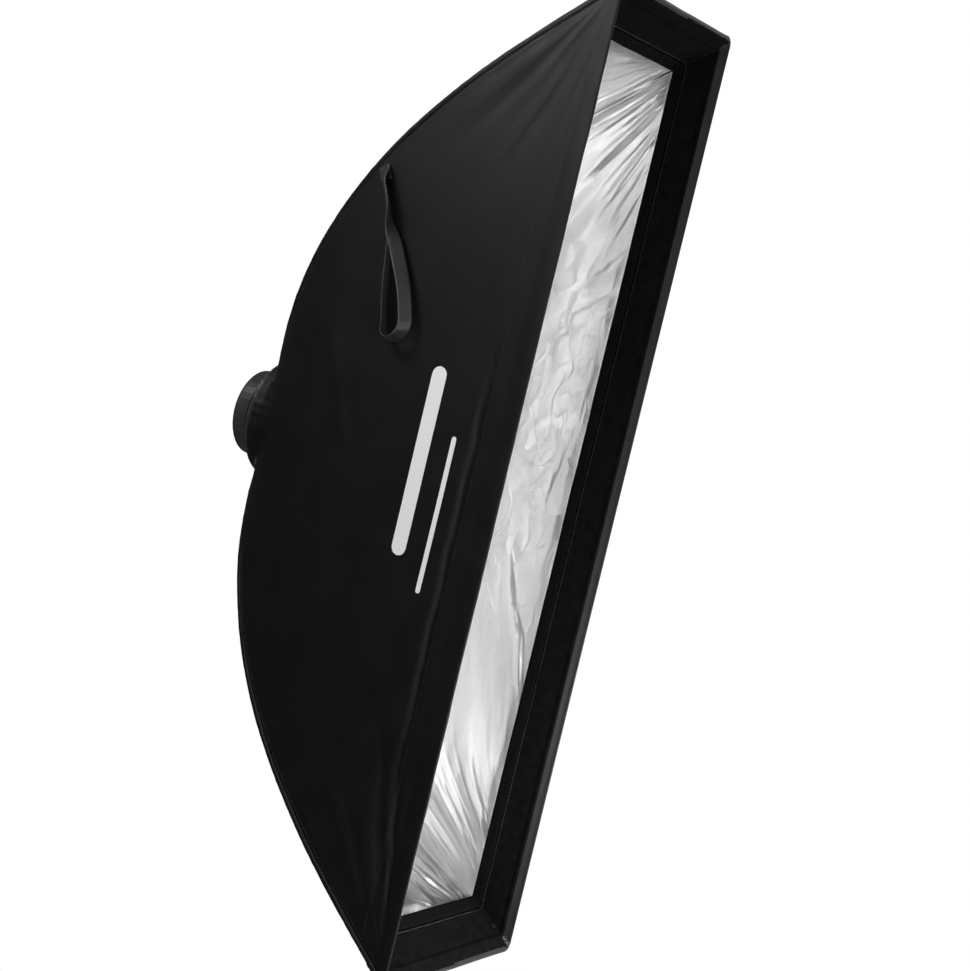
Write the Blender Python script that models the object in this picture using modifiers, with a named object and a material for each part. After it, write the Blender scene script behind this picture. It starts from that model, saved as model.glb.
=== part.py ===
"""Strip softbox with four flexible rods, a rotating speedring and a clamping collar.

Metres, +Z along the box's long side, open front facing -Y. The origin is the centre of the
collar's rear face, where the light head enters. Most parts are drawn with y counted from the
front edge towards the rear, and hang from an empty that stands on the front edge plane.
"""

import math

import bmesh
import bpy
import numpy as np
from mathutils import Matrix, Vector

# Overall size.
LENGTH = 1.200  # long side of the front frame, along Z
WIDTH = 0.311  # short side of the front frame, along X
DEPTH = 0.465  # front edge to the collar's rear face, along Y
GAP = 0.0003  # kept between parts that touch
CUT_PAST = 0.001  # cutting shapes run this far past the faces they cut
SCREW_SIDES = 12

# Rods: clamped flat in their sockets, bent until their tips reach the front corners.
ROD_RADIUS = 0.0025
ROD_MOUTH = 0.060  # a socket mouth's distance from the axis, along X and along Z
ROD_DEPTH = 0.4025  # the rods leave their sockets this far behind the front edge
ROD_INSERTION = 0.020  # rod length inside its socket
ROD_POINTS = 19
SLEEVE_RADIUS = 0.005
SLEEVE_WALL = 0.0012
SLEEVE_CLEARANCE = 0.004  # the sleeve stops this far short of the socket's mouth
CORNER_X = WIDTH / 2 - 0.0045  # where a rod's line meets the front edge plane, inside the hem
CORNER_Z = LENGTH / 2 - 0.0055
POCKET_START = 0.0045  # along the rod's line, from the front edge plane
POCKET_END = 0.036
POCKET_FLOOR = 0.0015
POCKET_ROUNDING = 0.001
ROD_END = 0.012
TIP_END = 0.026
TIP_RADIUS = 0.0037
TIP_ROUNDING = 0.0013
CORNER_SEGMENTS = 14

# Fabric. A panel's lift is how far it lies outside the rods' centre lines.
PANEL_LIFT = 0.0035
PANEL_THICKNESS = 0.001
LINING_LIFT = -0.0058
LINING_THICKNESS = 0.0005
SEAM_INSET = SLEEVE_RADIUS + 0.0006  # from a rod's centre line to a panel's edge
LINING_INSET = 0.0064
SOCKET_CLEARANCE = 0.003  # the fabric starts this far past the socket mouths
HEM_DEPTH = 0.009
HEM_OUTER_LIFT = 0.0045
BAND_INNER_LIFT = -0.0032
BAND_THICKNESS = 0.0012
BAND_DEPTH = 0.048  # front edge to the band's stitched rear edge
TAPE_DEPTH = 0.062  # front edge to the hook-and-loop tape's rear edge
TAPE_THICKNESS = 0.0015
LINING_FRONT = TAPE_DEPTH + 0.001

# Rear ring, collar and their fasteners. Radii are about the turning axis.
BORE_RADIUS = 0.0500  # inside the liner: a light head of 100 mm
LINER_OUTER = 0.0519
COLLAR_BORE = 0.0522
COLLAR_LIP = 0.0560
BARREL_RADIUS = 0.0540
BEARING_RADIUS = 0.0570
FLANGE_RADIUS = 0.0615
SLIP_RADIUS = 0.0610
RING_BORE = BEARING_RADIUS + GAP
RING_RADIUS = 0.0780
RING_FRONT = 0.4095
RING_REAR = 0.4285
RING_CHAMFER = 0.0015
RING_WALL = 0.003
RING_PLATE = 0.0045
FLANGE_FRONT = 0.4300
FLANGE_REAR = 0.4332
COLLAR_FRONT = 0.4092
LIP_FRONT = 0.4625
RETAINER_FRONT = 0.4062
RETAINER_RADIUS = 0.0610
CUFF_REAR = 0.4215
CUFF_THICKNESS = 0.0022
LIP_DEPTH = 0.0005  # how far the rear lip reaches inwards past the liner's end
EDGE_CHAMFER = 0.0006
SEGMENTS = 40

# Rod sockets, in the socket's own space: Z out along the rod, Y to the rear.
SOCKET_HALF_WIDTH = 0.0065
SOCKET_LENGTH = 0.023
SOCKET_MOUTH = 0.001
SOCKET_FRONT = -0.0068
SOCKET_REAR = RING_FRONT - GAP - ROD_DEPTH
ROD_BORE_RADIUS = ROD_RADIUS + 0.0004
SOCKET_SCREW_Z = -0.016
SOCKET_SCREW_RADIUS = 0.0015
SOCKET_SCREW_TIP = ROD_RADIUS + 0.0014
SCREW_HOLE_RADIUS = SOCKET_SCREW_RADIUS + 0.0003
SCREW_HEAD_RADIUS = 0.003
SCREW_HEAD_HEIGHT = 0.002
SCREW_POST_RADIUS = 0.0042

# Screws that hold the retaining ring on the collar's front face.
RETAINING_SCREWS = 4
RETAINING_SCREW_CIRCLE = 0.0546
RETAINING_SCREW_RADIUS = 0.001
RETAINING_SCREW_LENGTH = 0.008
RETAINING_HEAD_RADIUS = 0.0019
RETAINING_HEAD_HEIGHT = 0.0012
RETAINING_HOLE_RADIUS = RETAINING_SCREW_RADIUS + 0.0003

# Clamp band and cam lever, on the +X side.
COLLAR_SPLIT = 0.003
COLLAR_SPLIT_FRONT = 0.4365
SPLIT_INNER = 0.045  # the splits are cut outwards from here
BAND_FRONT = 0.4450
BAND_REAR = 0.4620
LATCH_Y = (BAND_FRONT + BAND_REAR) / 2
LATCH_X = 0.0655  # the clamp bolt's distance from the axis
EAR_INNER = 0.0025
EAR_OUTER = 0.0075
EAR_SETBACK = 0.002
EAR_REACH = 0.006
BOLT_RADIUS = 0.0022
BOLT_HOLE_RADIUS = 0.0026
BOLT_END = 0.0155
NUT_RADIUS = 0.0058
NUT_THICKNESS = 0.006
SADDLE_HALF_LENGTH = 0.0055
SADDLE_TOP = 0.0100
PIN_Z = 0.0175
PIN_RADIUS = 0.0015
EYE_RADIUS = 0.0043
EYE_HALF_WIDTH = 0.0025
LEVER_HALF_WIDTH = 0.006
EYE_CLEARANCE = 0.0004
CAM_RADIUS = 0.006
CAM_OFFSET = 0.001
CAM_SIDES = 24
LEVER_INNER = 0.0600
LEVER_OUTER = 0.0640
LEVER_ARC = (math.radians(18), math.radians(74))  # about the collar's axis, from +X to +Z

# Ribbon loop, sewn into the upper seam of the left panel.
LOOP_ROOT_Z = 0.344
LOOP_LENGTH = 0.214
LOOP_BEND_RADIUS = 0.013
LOOP_LEAN = math.radians(24)  # from -Z towards the front, in the panel's plane
RIBBON_WIDTH = 0.017
RIBBON_THICKNESS = 0.0012
RIBBON_CLEARANCE = 0.003  # between the ribbon and the panel
SEAM_TO_TAB = 0.012  # from the rod's line to the tab's stitching
TAB_START = -0.004
TAB_LENGTH = 0.014
TAB_TOP = 0.0016

QUADRANTS = {
    "top_left": (-1, 1),
    "top_right": (1, 1),
    "bottom_left": (-1, -1),
    "bottom_right": (1, -1),
}

PAINTS = {
    "black_fabric": ((0.012, 0.012, 0.013), 0.85, 0.0),
    "black_tape": ((0.008, 0.008, 0.008), 0.95, 0.0),
    "silver_fabric": ((0.72, 0.73, 0.75), 0.28, 1.0),
    "ribbon": ((0.02, 0.02, 0.022), 0.45, 0.0),
    "rod": ((0.05, 0.05, 0.055), 0.35, 0.0),
    "black_plastic": ((0.02, 0.02, 0.022), 0.4, 0.0),
    "black_metal": ((0.03, 0.03, 0.032), 0.35, 0.8),
    "steel": ((0.6, 0.6, 0.62), 0.3, 1.0),
    "rubber": ((0.015, 0.015, 0.015), 0.9, 0.0),
    "nylon": ((0.8, 0.79, 0.74), 0.5, 0.0),
}


# ---------------------------------------------------------------- scene and object helpers


def clear_scene():
    for obj in list(bpy.data.objects):
        bpy.data.objects.remove(obj, do_unlink=True)


def new_collection(name):
    collection = bpy.data.collections.new(name)
    bpy.context.scene.collection.children.link(collection)
    return collection


def make_paints():
    paints = {}
    for name, (colour, roughness, metallic) in PAINTS.items():
        paint = bpy.data.materials.new(name)
        paint.use_nodes = True
        shader = paint.node_tree.nodes["Principled BSDF"]
        shader.inputs["Base Color"].default_value = (*colour, 1.0)
        shader.inputs["Roughness"].default_value = roughness
        shader.inputs["Metallic"].default_value = metallic
        paints[name] = paint
    return paints


clear_scene()
SOFTBOX = new_collection("strip_softbox")
CUTTERS = new_collection("cutters")
MATERIALS = make_paints()


def add_empty(name, location):
    empty = bpy.data.objects.new(name, None)
    empty.location = location
    SOFTBOX.objects.link(empty)
    return empty


def add_object(name, data, paint, parent, place=None):
    """A named part under an empty; place is its matrix in that empty's space."""
    obj = bpy.data.objects.new(name, data)
    SOFTBOX.objects.link(obj)
    obj.parent = parent
    if place is not None:
        obj.matrix_basis = place
    data.materials.append(MATERIALS[paint])
    return obj


def mesh_from(bm, name, smooth_angle=None):
    mesh = bpy.data.meshes.new(name)
    bmesh.ops.recalc_face_normals(bm, faces=bm.faces)
    bm.to_mesh(mesh)
    bm.free()
    if smooth_angle is not None:
        mesh.shade_smooth()
        mesh.set_sharp_from_angle(angle=smooth_angle)
    return mesh


def box_mesh(name, low, high):
    size = [h - l for l, h in zip(low, high)]
    centre = [(h + l) / 2 for l, h in zip(low, high)]
    bm = bmesh.new()
    bmesh.ops.create_cube(bm, size=1.0, matrix=Matrix.Translation(centre) @ Matrix.Diagonal((*size, 1)))
    return mesh_from(bm, name)


def cylinder_mesh(name, radius, start, end, sides=16, top_radius=None):
    """A cylinder or cone along Z from start to end, closed at both ends."""
    bm = bmesh.new()
    bmesh.ops.create_cone(
        bm,
        cap_ends=True,
        segments=sides,
        radius1=radius,
        radius2=radius if top_radius is None else top_radius,
        depth=end - start,
        matrix=Matrix.Translation((0, 0, (start + end) / 2)),
    )
    return mesh_from(bm, name, math.radians(40))


def turned_object(name, profile, paint, parent, place, segments=SEGMENTS):
    """A profile of (radius, z) points, clockwise, turned about Z.

    A profile that starts and ends on the axis makes a solid; any other is closed into a ring.
    """
    points = [(r, 0, z) for r, z in profile]
    edges = [(i, i + 1) for i in range(len(points) - 1)]
    if profile[0][0] > 0.0:
        edges.append((len(points) - 1, 0))
    mesh = bpy.data.meshes.new(name)
    mesh.from_pydata(points, edges, [])
    obj = add_object(name, mesh, paint, parent, place)
    screw = obj.modifiers.new("turn", "SCREW")
    screw.axis = "Z"
    screw.angle = 2 * math.pi
    screw.steps = segments
    screw.render_steps = segments
    screw.use_merge_vertices = True
    screw.merge_threshold = 0.00001
    screw.use_smooth_shade = True
    return obj


def bevel(obj, width, segments=2, angle=math.radians(40)):
    modifier = obj.modifiers.new("rounded_edges", "BEVEL")
    modifier.width = width
    modifier.segments = segments
    modifier.limit_method = "ANGLE"
    modifier.angle_limit = angle


def combine(obj, mesh, operation, place=None):
    """Joins a mesh to a part, or cuts it away, at a place in the part's parent space."""
    tool = bpy.data.objects.new(f"{obj.name}_{operation.lower()}", mesh)
    CUTTERS.objects.link(tool)
    tool.hide_render = True
    tool.display_type = "WIRE"
    tool.parent = obj.parent
    if place is not None:
        tool.matrix_basis = place
    boolean = obj.modifiers.new(operation.lower(), "BOOLEAN")
    boolean.operation = operation
    boolean.object = tool


# Turns local +Z to the object's +Y, for shapes turned about the softbox's axis.
TO_REAR = Matrix.Rotation(-math.pi / 2, 4, "X")


# ---------------------------------------------------------------- the rods' bent line


def trapezoid_steps(values, steps):
    """Running integral of the values over equal steps, from zero."""
    middle = (values[1:] + values[:-1]) / 2 * np.diff(steps)
    return np.concatenate([[0.0], np.cumsum(middle)])


def bent_rod():
    """(x, y, z) rows of the +X +Z rod's centre line, from socket mouth to front edge plane.

    A springy rod held flat at one end and pinned at the other bends fastest at the held end:
    its slope after a share u of its length is turn * (2u - u*u).
    """
    across = Vector((CORNER_X - ROD_MOUTH, CORNER_Z - ROD_MOUTH))
    reach = across.length
    share = np.linspace(0.0, 1.0, 400)
    low, high = 0.3, 1.5
    for _ in range(60):
        turn = (low + high) / 2
        slope = turn * (2 * share - share**2)
        run = trapezoid_steps(np.cos(slope), share)
        drop = trapezoid_steps(np.sin(slope), share)
        if drop[-1] / run[-1] < ROD_DEPTH / reach:
            low = turn
        else:
            high = turn
    rod_length = reach / run[-1]
    picks = np.linspace(0.0, 1.0, ROD_POINTS)
    run = np.interp(picks, share, run) * rod_length
    drop = np.interp(picks, share, drop) * rod_length
    return np.stack(
        [ROD_MOUTH + across.x / reach * run, ROD_DEPTH - drop, ROD_MOUTH + across.y / reach * run],
        axis=1,
    )


ROD_LINE = bent_rod()
ROD_SPAN = float(np.linalg.norm(np.diff(ROD_LINE, axis=0), axis=1).sum())


def line_between(start, end):
    """Points of the rod line between two distances from its front end, front to socket."""
    line = ROD_LINE[::-1]
    travelled = np.concatenate([[0.0], np.cumsum(np.linalg.norm(np.diff(line, axis=0), axis=1))])
    inside = (travelled > start + 0.002) & (travelled < end - 0.002)
    marks = np.concatenate([[start], travelled[inside], [end]])
    return np.stack([np.interp(marks, travelled, line[:, i]) for i in range(3)], axis=1)


def quadrant(points, sign):
    return [(sign[0] * x, y, sign[1] * z) for x, y, z in points]


def tube_object(name, points, radius, paint, parent, capped=True):
    curve = bpy.data.curves.new(name, "CURVE")
    curve.dimensions = "3D"
    curve.bevel_depth = radius
    curve.bevel_resolution = 2
    curve.use_fill_caps = capped
    spline = curve.splines.new("POLY")
    spline.points.add(len(points) - 1)
    for point, place in zip(spline.points, points):
        point.co = (*place, 1.0)
    return add_object(name, curve, paint, parent)


def front_corner_place(sign):
    """Z runs up the rod from the front corner."""
    start, after = (Vector(p) for p in quadrant(line_between(0.0, 0.04)[:2], sign))
    turn = (after - start).to_track_quat("Z", "Y").to_matrix().to_4x4()
    return Matrix.Translation(start) @ turn


def socket_place(sign):
    """Origin at the socket's mouth, Z out along the rod, Y to the rear."""
    x, y, z = ROD_LINE[0]
    out_x, _, out_z = ROD_LINE[-1] - ROD_LINE[0]
    turn = math.atan2(sign[0] * out_x, sign[1] * out_z)
    return Matrix.Translation((sign[0] * x, y, sign[1] * z)) @ Matrix.Rotation(turn, 4, "Y")


# ---------------------------------------------------------------- fabric


class Panel:
    """One side of the box: a profile in (outward, y), with straight rulings between two rods."""

    def __init__(self, outward_axis, ruling_axis):
        self.outward = ROD_LINE[:, outward_axis]
        self.depth = ROD_LINE[:, 1]
        self.half_ruling = ROD_LINE[:, ruling_axis]
        self.outward_axis = outward_axis
        self.ruling_axis = ruling_axis
        steps = np.hypot(np.diff(self.outward), np.diff(self.depth))
        self.travel = np.concatenate([[0.0], np.cumsum(steps)])

    def edge(self, inset):
        """(travel, half ruling) along the sheet's edge, drawn in from the rod square to itself."""
        along = np.gradient(self.travel)
        across = np.gradient(self.half_ruling)
        size = np.hypot(along, across)
        return self.travel + inset * across / size, self.half_ruling - inset * along / size

    def half_width(self, travel, inset):
        return np.interp(travel, *self.edge(inset))

    def travel_at_depth(self, depth):
        return float(np.interp(-depth, -self.depth, self.travel))

    def outside(self, travel, lift):
        """(outward, y) at a travel, raised square to the profile."""
        d_out = np.gradient(self.outward, self.travel)
        d_depth = np.gradient(self.depth, self.travel)
        size = np.hypot(d_out, d_depth)
        out = np.interp(travel, self.travel, self.outward - lift * d_depth / size)
        depth = np.interp(travel, self.travel, self.depth + lift * d_out / size)
        return out, depth

    def outside_at_depth(self, travel, lift):
        """How far out the raised surface is, straight outward from the profile at a travel."""
        d_out = np.gradient(self.outward, self.travel)
        d_depth = np.gradient(self.depth, self.travel)
        facing = -d_depth / np.hypot(d_out, d_depth)
        out = np.interp(travel, self.travel, self.outward)
        return float(out + lift / np.interp(travel, self.travel, facing))

    def point(self, outward, depth, ruling, side):
        place = [0.0, depth, 0.0]
        place[self.outward_axis] = side * outward
        place[self.ruling_axis] = ruling
        return place

    def sheet(self, name, side, front_depth, lift, inset, rows):
        """A curved sheet from the front depth back to the ring."""
        front = self.travel_at_depth(front_depth)
        rear = max(self.edge(inset)[0][0], SOCKET_CLEARANCE)
        bm = bmesh.new()
        lines = []
        for travel in np.linspace(rear, front, rows):
            half = self.half_width(travel, inset)
            out, depth = self.outside(travel, lift)
            lines.append([bm.verts.new(self.point(out, depth, end * half, side)) for end in (-1, 1)])
        for line, after in zip(lines, lines[1:]):
            bm.faces.new((line[0], line[1], after[1], after[0]))
        mesh = mesh_from(bm, name)
        mesh.shade_smooth()
        return mesh

    def bar(self, name, side, outline, end_faces, inset):
        """A straight bar along the front edge, its section given as (lift, depth) points.

        end_faces are the section's points taken in pieces, each between two depths and so flat.
        """
        bm = bmesh.new()
        ends = []
        for end in (-1, 1):
            ring = []
            for lift, wanted in outline:
                travel = self.travel_at_depth(wanted)
                half = self.half_width(travel, inset)
                out = self.outside_at_depth(travel, lift)
                ring.append(bm.verts.new(self.point(out, wanted, end * half, side)))
            ends.append(ring)
        count = len(outline)
        for i in range(count):
            after = (i + 1) % count
            bm.faces.new((ends[0][i], ends[0][after], ends[1][after], ends[1][i]))
        for ring in ends:
            for piece in end_faces:
                bm.faces.new([ring[i] for i in piece])
        return mesh_from(bm, name)


SIDE = Panel(outward_axis=0, ruling_axis=2)
END = Panel(outward_axis=2, ruling_axis=0)
SIDE_ROWS = 15
END_ROWS = 17


def thicken(obj, thickness, offset=0.0):
    solidify = obj.modifiers.new("thickness", "SOLIDIFY")
    solidify.thickness = thickness
    solidify.offset = offset


def add_sheet(name, paint, parent, panel, side, front, lift, inset, thickness, rows):
    mesh = panel.sheet(name, side, front, lift, inset, rows)
    thicken(add_object(name, mesh, paint, parent), thickness)


# The front band's section: a thick hem on the edge, then a flat facing behind it.
HEM_AND_FACING = [
    (HEM_OUTER_LIFT, 0.0),
    (BAND_INNER_LIFT, 0.0),
    (BAND_INNER_LIFT, HEM_DEPTH),
    (BAND_INNER_LIFT, BAND_DEPTH),
    (BAND_INNER_LIFT + BAND_THICKNESS, BAND_DEPTH),
    (BAND_INNER_LIFT + BAND_THICKNESS, HEM_DEPTH),
    (HEM_OUTER_LIFT, HEM_DEPTH),
]
HEM_END = (0, 1, 2, 5, 6)
FACING_END = (2, 3, 4, 5)


TAPE_LIFT = BAND_INNER_LIFT - GAP
TAPE = [
    (TAPE_LIFT, BAND_DEPTH + GAP),
    (TAPE_LIFT - TAPE_THICKNESS, BAND_DEPTH + GAP),
    (TAPE_LIFT - TAPE_THICKNESS, TAPE_DEPTH),
    (TAPE_LIFT, TAPE_DEPTH),
]
TAPE_END = (0, 1, 2, 3)


def make_fabric(frame):
    """Outer panels, linings, front bands and hook-and-loop tapes of all four sides."""
    walls = [
        ("side", "left", SIDE, -1, SIDE_ROWS),
        ("side", "right", SIDE, 1, SIDE_ROWS),
        ("end", "bottom", END, -1, END_ROWS),
        ("end", "top", END, 1, END_ROWS),
    ]
    for kind, where, panel, side, rows in walls:
        add_sheet(f"{kind}_panel_{where}", "black_fabric", frame, panel, side, HEM_DEPTH + GAP,
                  PANEL_LIFT, SEAM_INSET, PANEL_THICKNESS, rows)
        add_sheet(f"{kind}_lining_{where}", "silver_fabric", frame, panel, side, LINING_FRONT,
                  LINING_LIFT, LINING_INSET, LINING_THICKNESS, rows)
        band = panel.bar(f"front_band_{where}", side, HEM_AND_FACING, (HEM_END, FACING_END), SEAM_INSET)
        add_object(f"front_band_{where}", band, "black_fabric", frame)
        tape = panel.bar(f"hook_tape_{where}", side, TAPE, (TAPE_END,), LINING_INSET)
        add_object(f"hook_tape_{where}", tape, "black_tape", frame)


# ---------------------------------------------------------------- rods and their ends


def make_rod(frame, name, sign):
    place = socket_place(sign)
    inner_end = place @ Vector((0, 0, -ROD_INSERTION))
    line = quadrant(line_between(ROD_END, ROD_SPAN), sign)
    tube_object(f"rod_{name}", [*line, tuple(inner_end)], ROD_RADIUS, "rod", frame)

    channel = quadrant(line_between(POCKET_END + GAP, ROD_SPAN - SLEEVE_CLEARANCE), sign)
    sleeve = tube_object(f"rod_sleeve_{name}", channel, SLEEVE_RADIUS, "black_fabric", frame, capped=False)
    thicken(sleeve, SLEEVE_WALL, offset=-1.0)


def make_corner(frame, name, sign):
    """The pocket that holds a rod's tip at the front corner, and the moulded tip."""
    place = front_corner_place(sign)
    outer = SLEEVE_RADIUS
    inner = TIP_RADIUS + GAP
    floor = POCKET_START + POCKET_FLOOR
    pocket_profile = [
        (0.0, floor),
        (inner, floor),
        (inner, POCKET_END),
        (outer, POCKET_END),
        (outer, POCKET_START + POCKET_ROUNDING),
        (outer - POCKET_ROUNDING, POCKET_START),
        (0.0, POCKET_START),
    ]
    tip_profile = [
        (0.0, ROD_END - GAP),
        (ROD_RADIUS + GAP, ROD_END - GAP),
        (ROD_RADIUS + GAP, TIP_END),
        (TIP_RADIUS, TIP_END),
        (TIP_RADIUS, floor + GAP + TIP_ROUNDING),
        (TIP_RADIUS - TIP_ROUNDING, floor + GAP),
        (0.0, floor + GAP),
    ]
    turned_object(f"corner_pocket_{name}", pocket_profile, "black_fabric", frame, place, CORNER_SEGMENTS)
    turned_object(f"rod_tip_{name}", tip_profile, "rubber", frame, place, CORNER_SEGMENTS)


def make_socket(frame, name, sign):
    """A block on the speedring's front face, bored for the rod, with its fixing screw."""
    place = socket_place(sign)
    block = box_mesh(
        f"rod_socket_{name}",
        (-SOCKET_HALF_WIDTH, SOCKET_FRONT, -SOCKET_LENGTH),
        (SOCKET_HALF_WIDTH, SOCKET_REAR, SOCKET_MOUTH),
    )
    socket = add_object(f"rod_socket_{name}", block, "black_plastic", frame, place)
    bevel(socket, 0.001)
    bore = cylinder_mesh("rod_bore", ROD_BORE_RADIUS, -ROD_INSERTION - 2 * GAP, SOCKET_MOUTH + CUT_PAST)
    combine(socket, bore, "DIFFERENCE", place)
    screw_place = place @ Matrix.Translation((0, 0, SOCKET_SCREW_Z)) @ TO_REAR
    hole_end = SOCKET_REAR + CUT_PAST
    hole = cylinder_mesh("screw_hole", SCREW_HOLE_RADIUS, SOCKET_SCREW_TIP - GAP, hole_end, SCREW_SIDES)
    combine(socket, hole, "DIFFERENCE", screw_place)

    seat = RING_REAR - ROD_DEPTH + GAP
    name = f"socket_screw_{name}"
    shank_end = seat + SCREW_HEAD_HEIGHT / 3
    shank = cylinder_mesh(name, SOCKET_SCREW_RADIUS, SOCKET_SCREW_TIP, shank_end, SCREW_SIDES)
    screw = add_object(name, shank, "steel", frame, screw_place)
    add_screw_head(screw, seat, SCREW_HEAD_RADIUS, SCREW_HEAD_HEIGHT, screw_place)


def add_screw_head(screw, seat, radius, height, place):
    """A round head with a hexagon recess, on a shank that runs along Z."""
    top = seat + height
    head = cylinder_mesh("head", radius, seat, top, top_radius=radius * 0.9)
    combine(screw, head, "UNION", place)
    recess = cylinder_mesh("recess", radius * 0.45, top - height * 0.55, top + CUT_PAST, 6)
    combine(screw, recess, "DIFFERENCE", place)


# ---------------------------------------------------------------- speedring and collar


def make_speedring(frame):
    inner = RING_BORE + RING_WALL
    outer = RING_RADIUS - RING_WALL
    plate = RING_REAR - RING_PLATE
    profile = [
        (RING_BORE, RING_REAR),
        (RING_RADIUS - RING_CHAMFER, RING_REAR),
        (RING_RADIUS, RING_REAR - RING_CHAMFER),
        (RING_RADIUS, RING_FRONT),
        (outer, RING_FRONT),
        (outer, plate),
        (inner, plate),
        (inner, RING_FRONT),
        (RING_BORE, RING_FRONT),
    ]
    ring = turned_object("speedring", profile, "black_metal", frame, TO_REAR)
    for sign in QUADRANTS.values():
        place = socket_place(sign) @ Matrix.Translation((0, 0, SOCKET_SCREW_Z)) @ TO_REAR
        post_start = RING_FRONT - ROD_DEPTH
        post_end = RING_REAR - ROD_DEPTH
        post = cylinder_mesh("post", SCREW_POST_RADIUS, post_start, post_end - RING_PLATE / 2)
        combine(ring, post, "UNION", place)
        start, end = post_start - CUT_PAST, post_end + CUT_PAST
        hole = cylinder_mesh("hole", SCREW_HOLE_RADIUS, start, end, SCREW_SIDES)
        combine(ring, hole, "DIFFERENCE", place)


def make_rear_cuff(frame):
    """The fabric's rear edge, drawn round the speedring's rim."""
    inner = RING_RADIUS + GAP
    outer = inner + CUFF_THICKNESS
    profile = [
        (inner, CUFF_REAR),
        (outer - EDGE_CHAMFER, CUFF_REAR),
        (outer, CUFF_REAR - EDGE_CHAMFER),
        (outer, RING_FRONT),
        (inner, RING_FRONT),
    ]
    turned_object("rear_cuff", profile, "black_fabric", frame, TO_REAR)


def make_collar(frame):
    """The turned collar, split on its +X side so that the band can squeeze it."""
    lip_bore = BORE_RADIUS + LIP_DEPTH
    shelf = LIP_FRONT + LIP_DEPTH
    profile = [
        (lip_bore, DEPTH),
        (COLLAR_LIP - EDGE_CHAMFER, DEPTH),
        (COLLAR_LIP, DEPTH - EDGE_CHAMFER),
        (COLLAR_LIP, LIP_FRONT),
        (BARREL_RADIUS, LIP_FRONT),
        (BARREL_RADIUS, FLANGE_REAR),
        (FLANGE_RADIUS, FLANGE_REAR),
        (FLANGE_RADIUS, FLANGE_FRONT),
        (BEARING_RADIUS, FLANGE_FRONT),
        (BEARING_RADIUS, COLLAR_FRONT),
        (COLLAR_BORE, COLLAR_FRONT),
        (COLLAR_BORE, shelf),
        (lip_bore, shelf),
    ]
    collar = turned_object("mount_collar", profile, "black_plastic", frame, TO_REAR)
    half = COLLAR_SPLIT / 2
    low = (SPLIT_INNER, COLLAR_SPLIT_FRONT, -half)
    high = (COLLAR_LIP + CUT_PAST, DEPTH + CUT_PAST, half)
    combine(collar, box_mesh("split", low, high), "DIFFERENCE")
    hole_end = RETAINING_SCREW_LENGTH + GAP
    for place in retaining_screw_places():
        hole = cylinder_mesh("hole", RETAINING_HOLE_RADIUS, -CUT_PAST, hole_end, SCREW_SIDES)
        combine(collar, hole, "DIFFERENCE", place)


def retaining_screw_places():
    """Origins on the collar's front face, Z into the collar."""
    for i in range(RETAINING_SCREWS):
        angle = math.pi / 4 + i * 2 * math.pi / RETAINING_SCREWS
        x = RETAINING_SCREW_CIRCLE * math.cos(angle)
        z = RETAINING_SCREW_CIRCLE * math.sin(angle)
        yield Matrix.Translation((x, COLLAR_FRONT, z)) @ TO_REAR


def make_retaining_ring(frame):
    front, rear = RETAINER_FRONT, COLLAR_FRONT - GAP
    profile = [
        (COLLAR_BORE, rear),
        (RETAINER_RADIUS, rear),
        (RETAINER_RADIUS, front),
        (COLLAR_BORE, front),
    ]
    ring = turned_object("retaining_ring", profile, "black_metal", frame, TO_REAR)
    seat = COLLAR_FRONT - front + GAP
    for number, place in enumerate(retaining_screw_places(), 1):
        hole = cylinder_mesh("hole", RETAINING_HOLE_RADIUS, -seat - CUT_PAST, CUT_PAST, SCREW_SIDES)
        combine(ring, hole, "DIFFERENCE", place)
        name = f"retaining_screw_{number}"
        start = -seat - RETAINING_HEAD_HEIGHT / 3
        shank = cylinder_mesh(name, RETAINING_SCREW_RADIUS, start, RETAINING_SCREW_LENGTH, SCREW_SIDES)
        screw = add_object(name, shank, "steel", frame, place)
        head_place = place @ Matrix.Rotation(math.pi, 4, "X")
        add_screw_head(screw, seat, RETAINING_HEAD_RADIUS, RETAINING_HEAD_HEIGHT, head_place)


def make_liner_and_slip_ring(frame):
    rear = LIP_FRONT + LIP_DEPTH - GAP
    liner = [
        (BORE_RADIUS, rear),
        (LINER_OUTER, rear),
        (LINER_OUTER, COLLAR_FRONT),
        (BORE_RADIUS, COLLAR_FRONT),
    ]
    turned_object("collar_liner", liner, "rubber", frame, TO_REAR)
    slip = [
        (RING_BORE, FLANGE_FRONT - GAP),
        (SLIP_RADIUS, FLANGE_FRONT - GAP),
        (SLIP_RADIUS, RING_REAR + GAP),
        (RING_BORE, RING_REAR + GAP),
    ]
    turned_object("slip_ring", slip, "nylon", frame, TO_REAR)


# ---------------------------------------------------------------- clamp


def latch_place(z=0.0):
    """At the clamp bolt's line, Z along the bolt."""
    return Matrix.Translation((LATCH_X, LATCH_Y, z))


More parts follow.
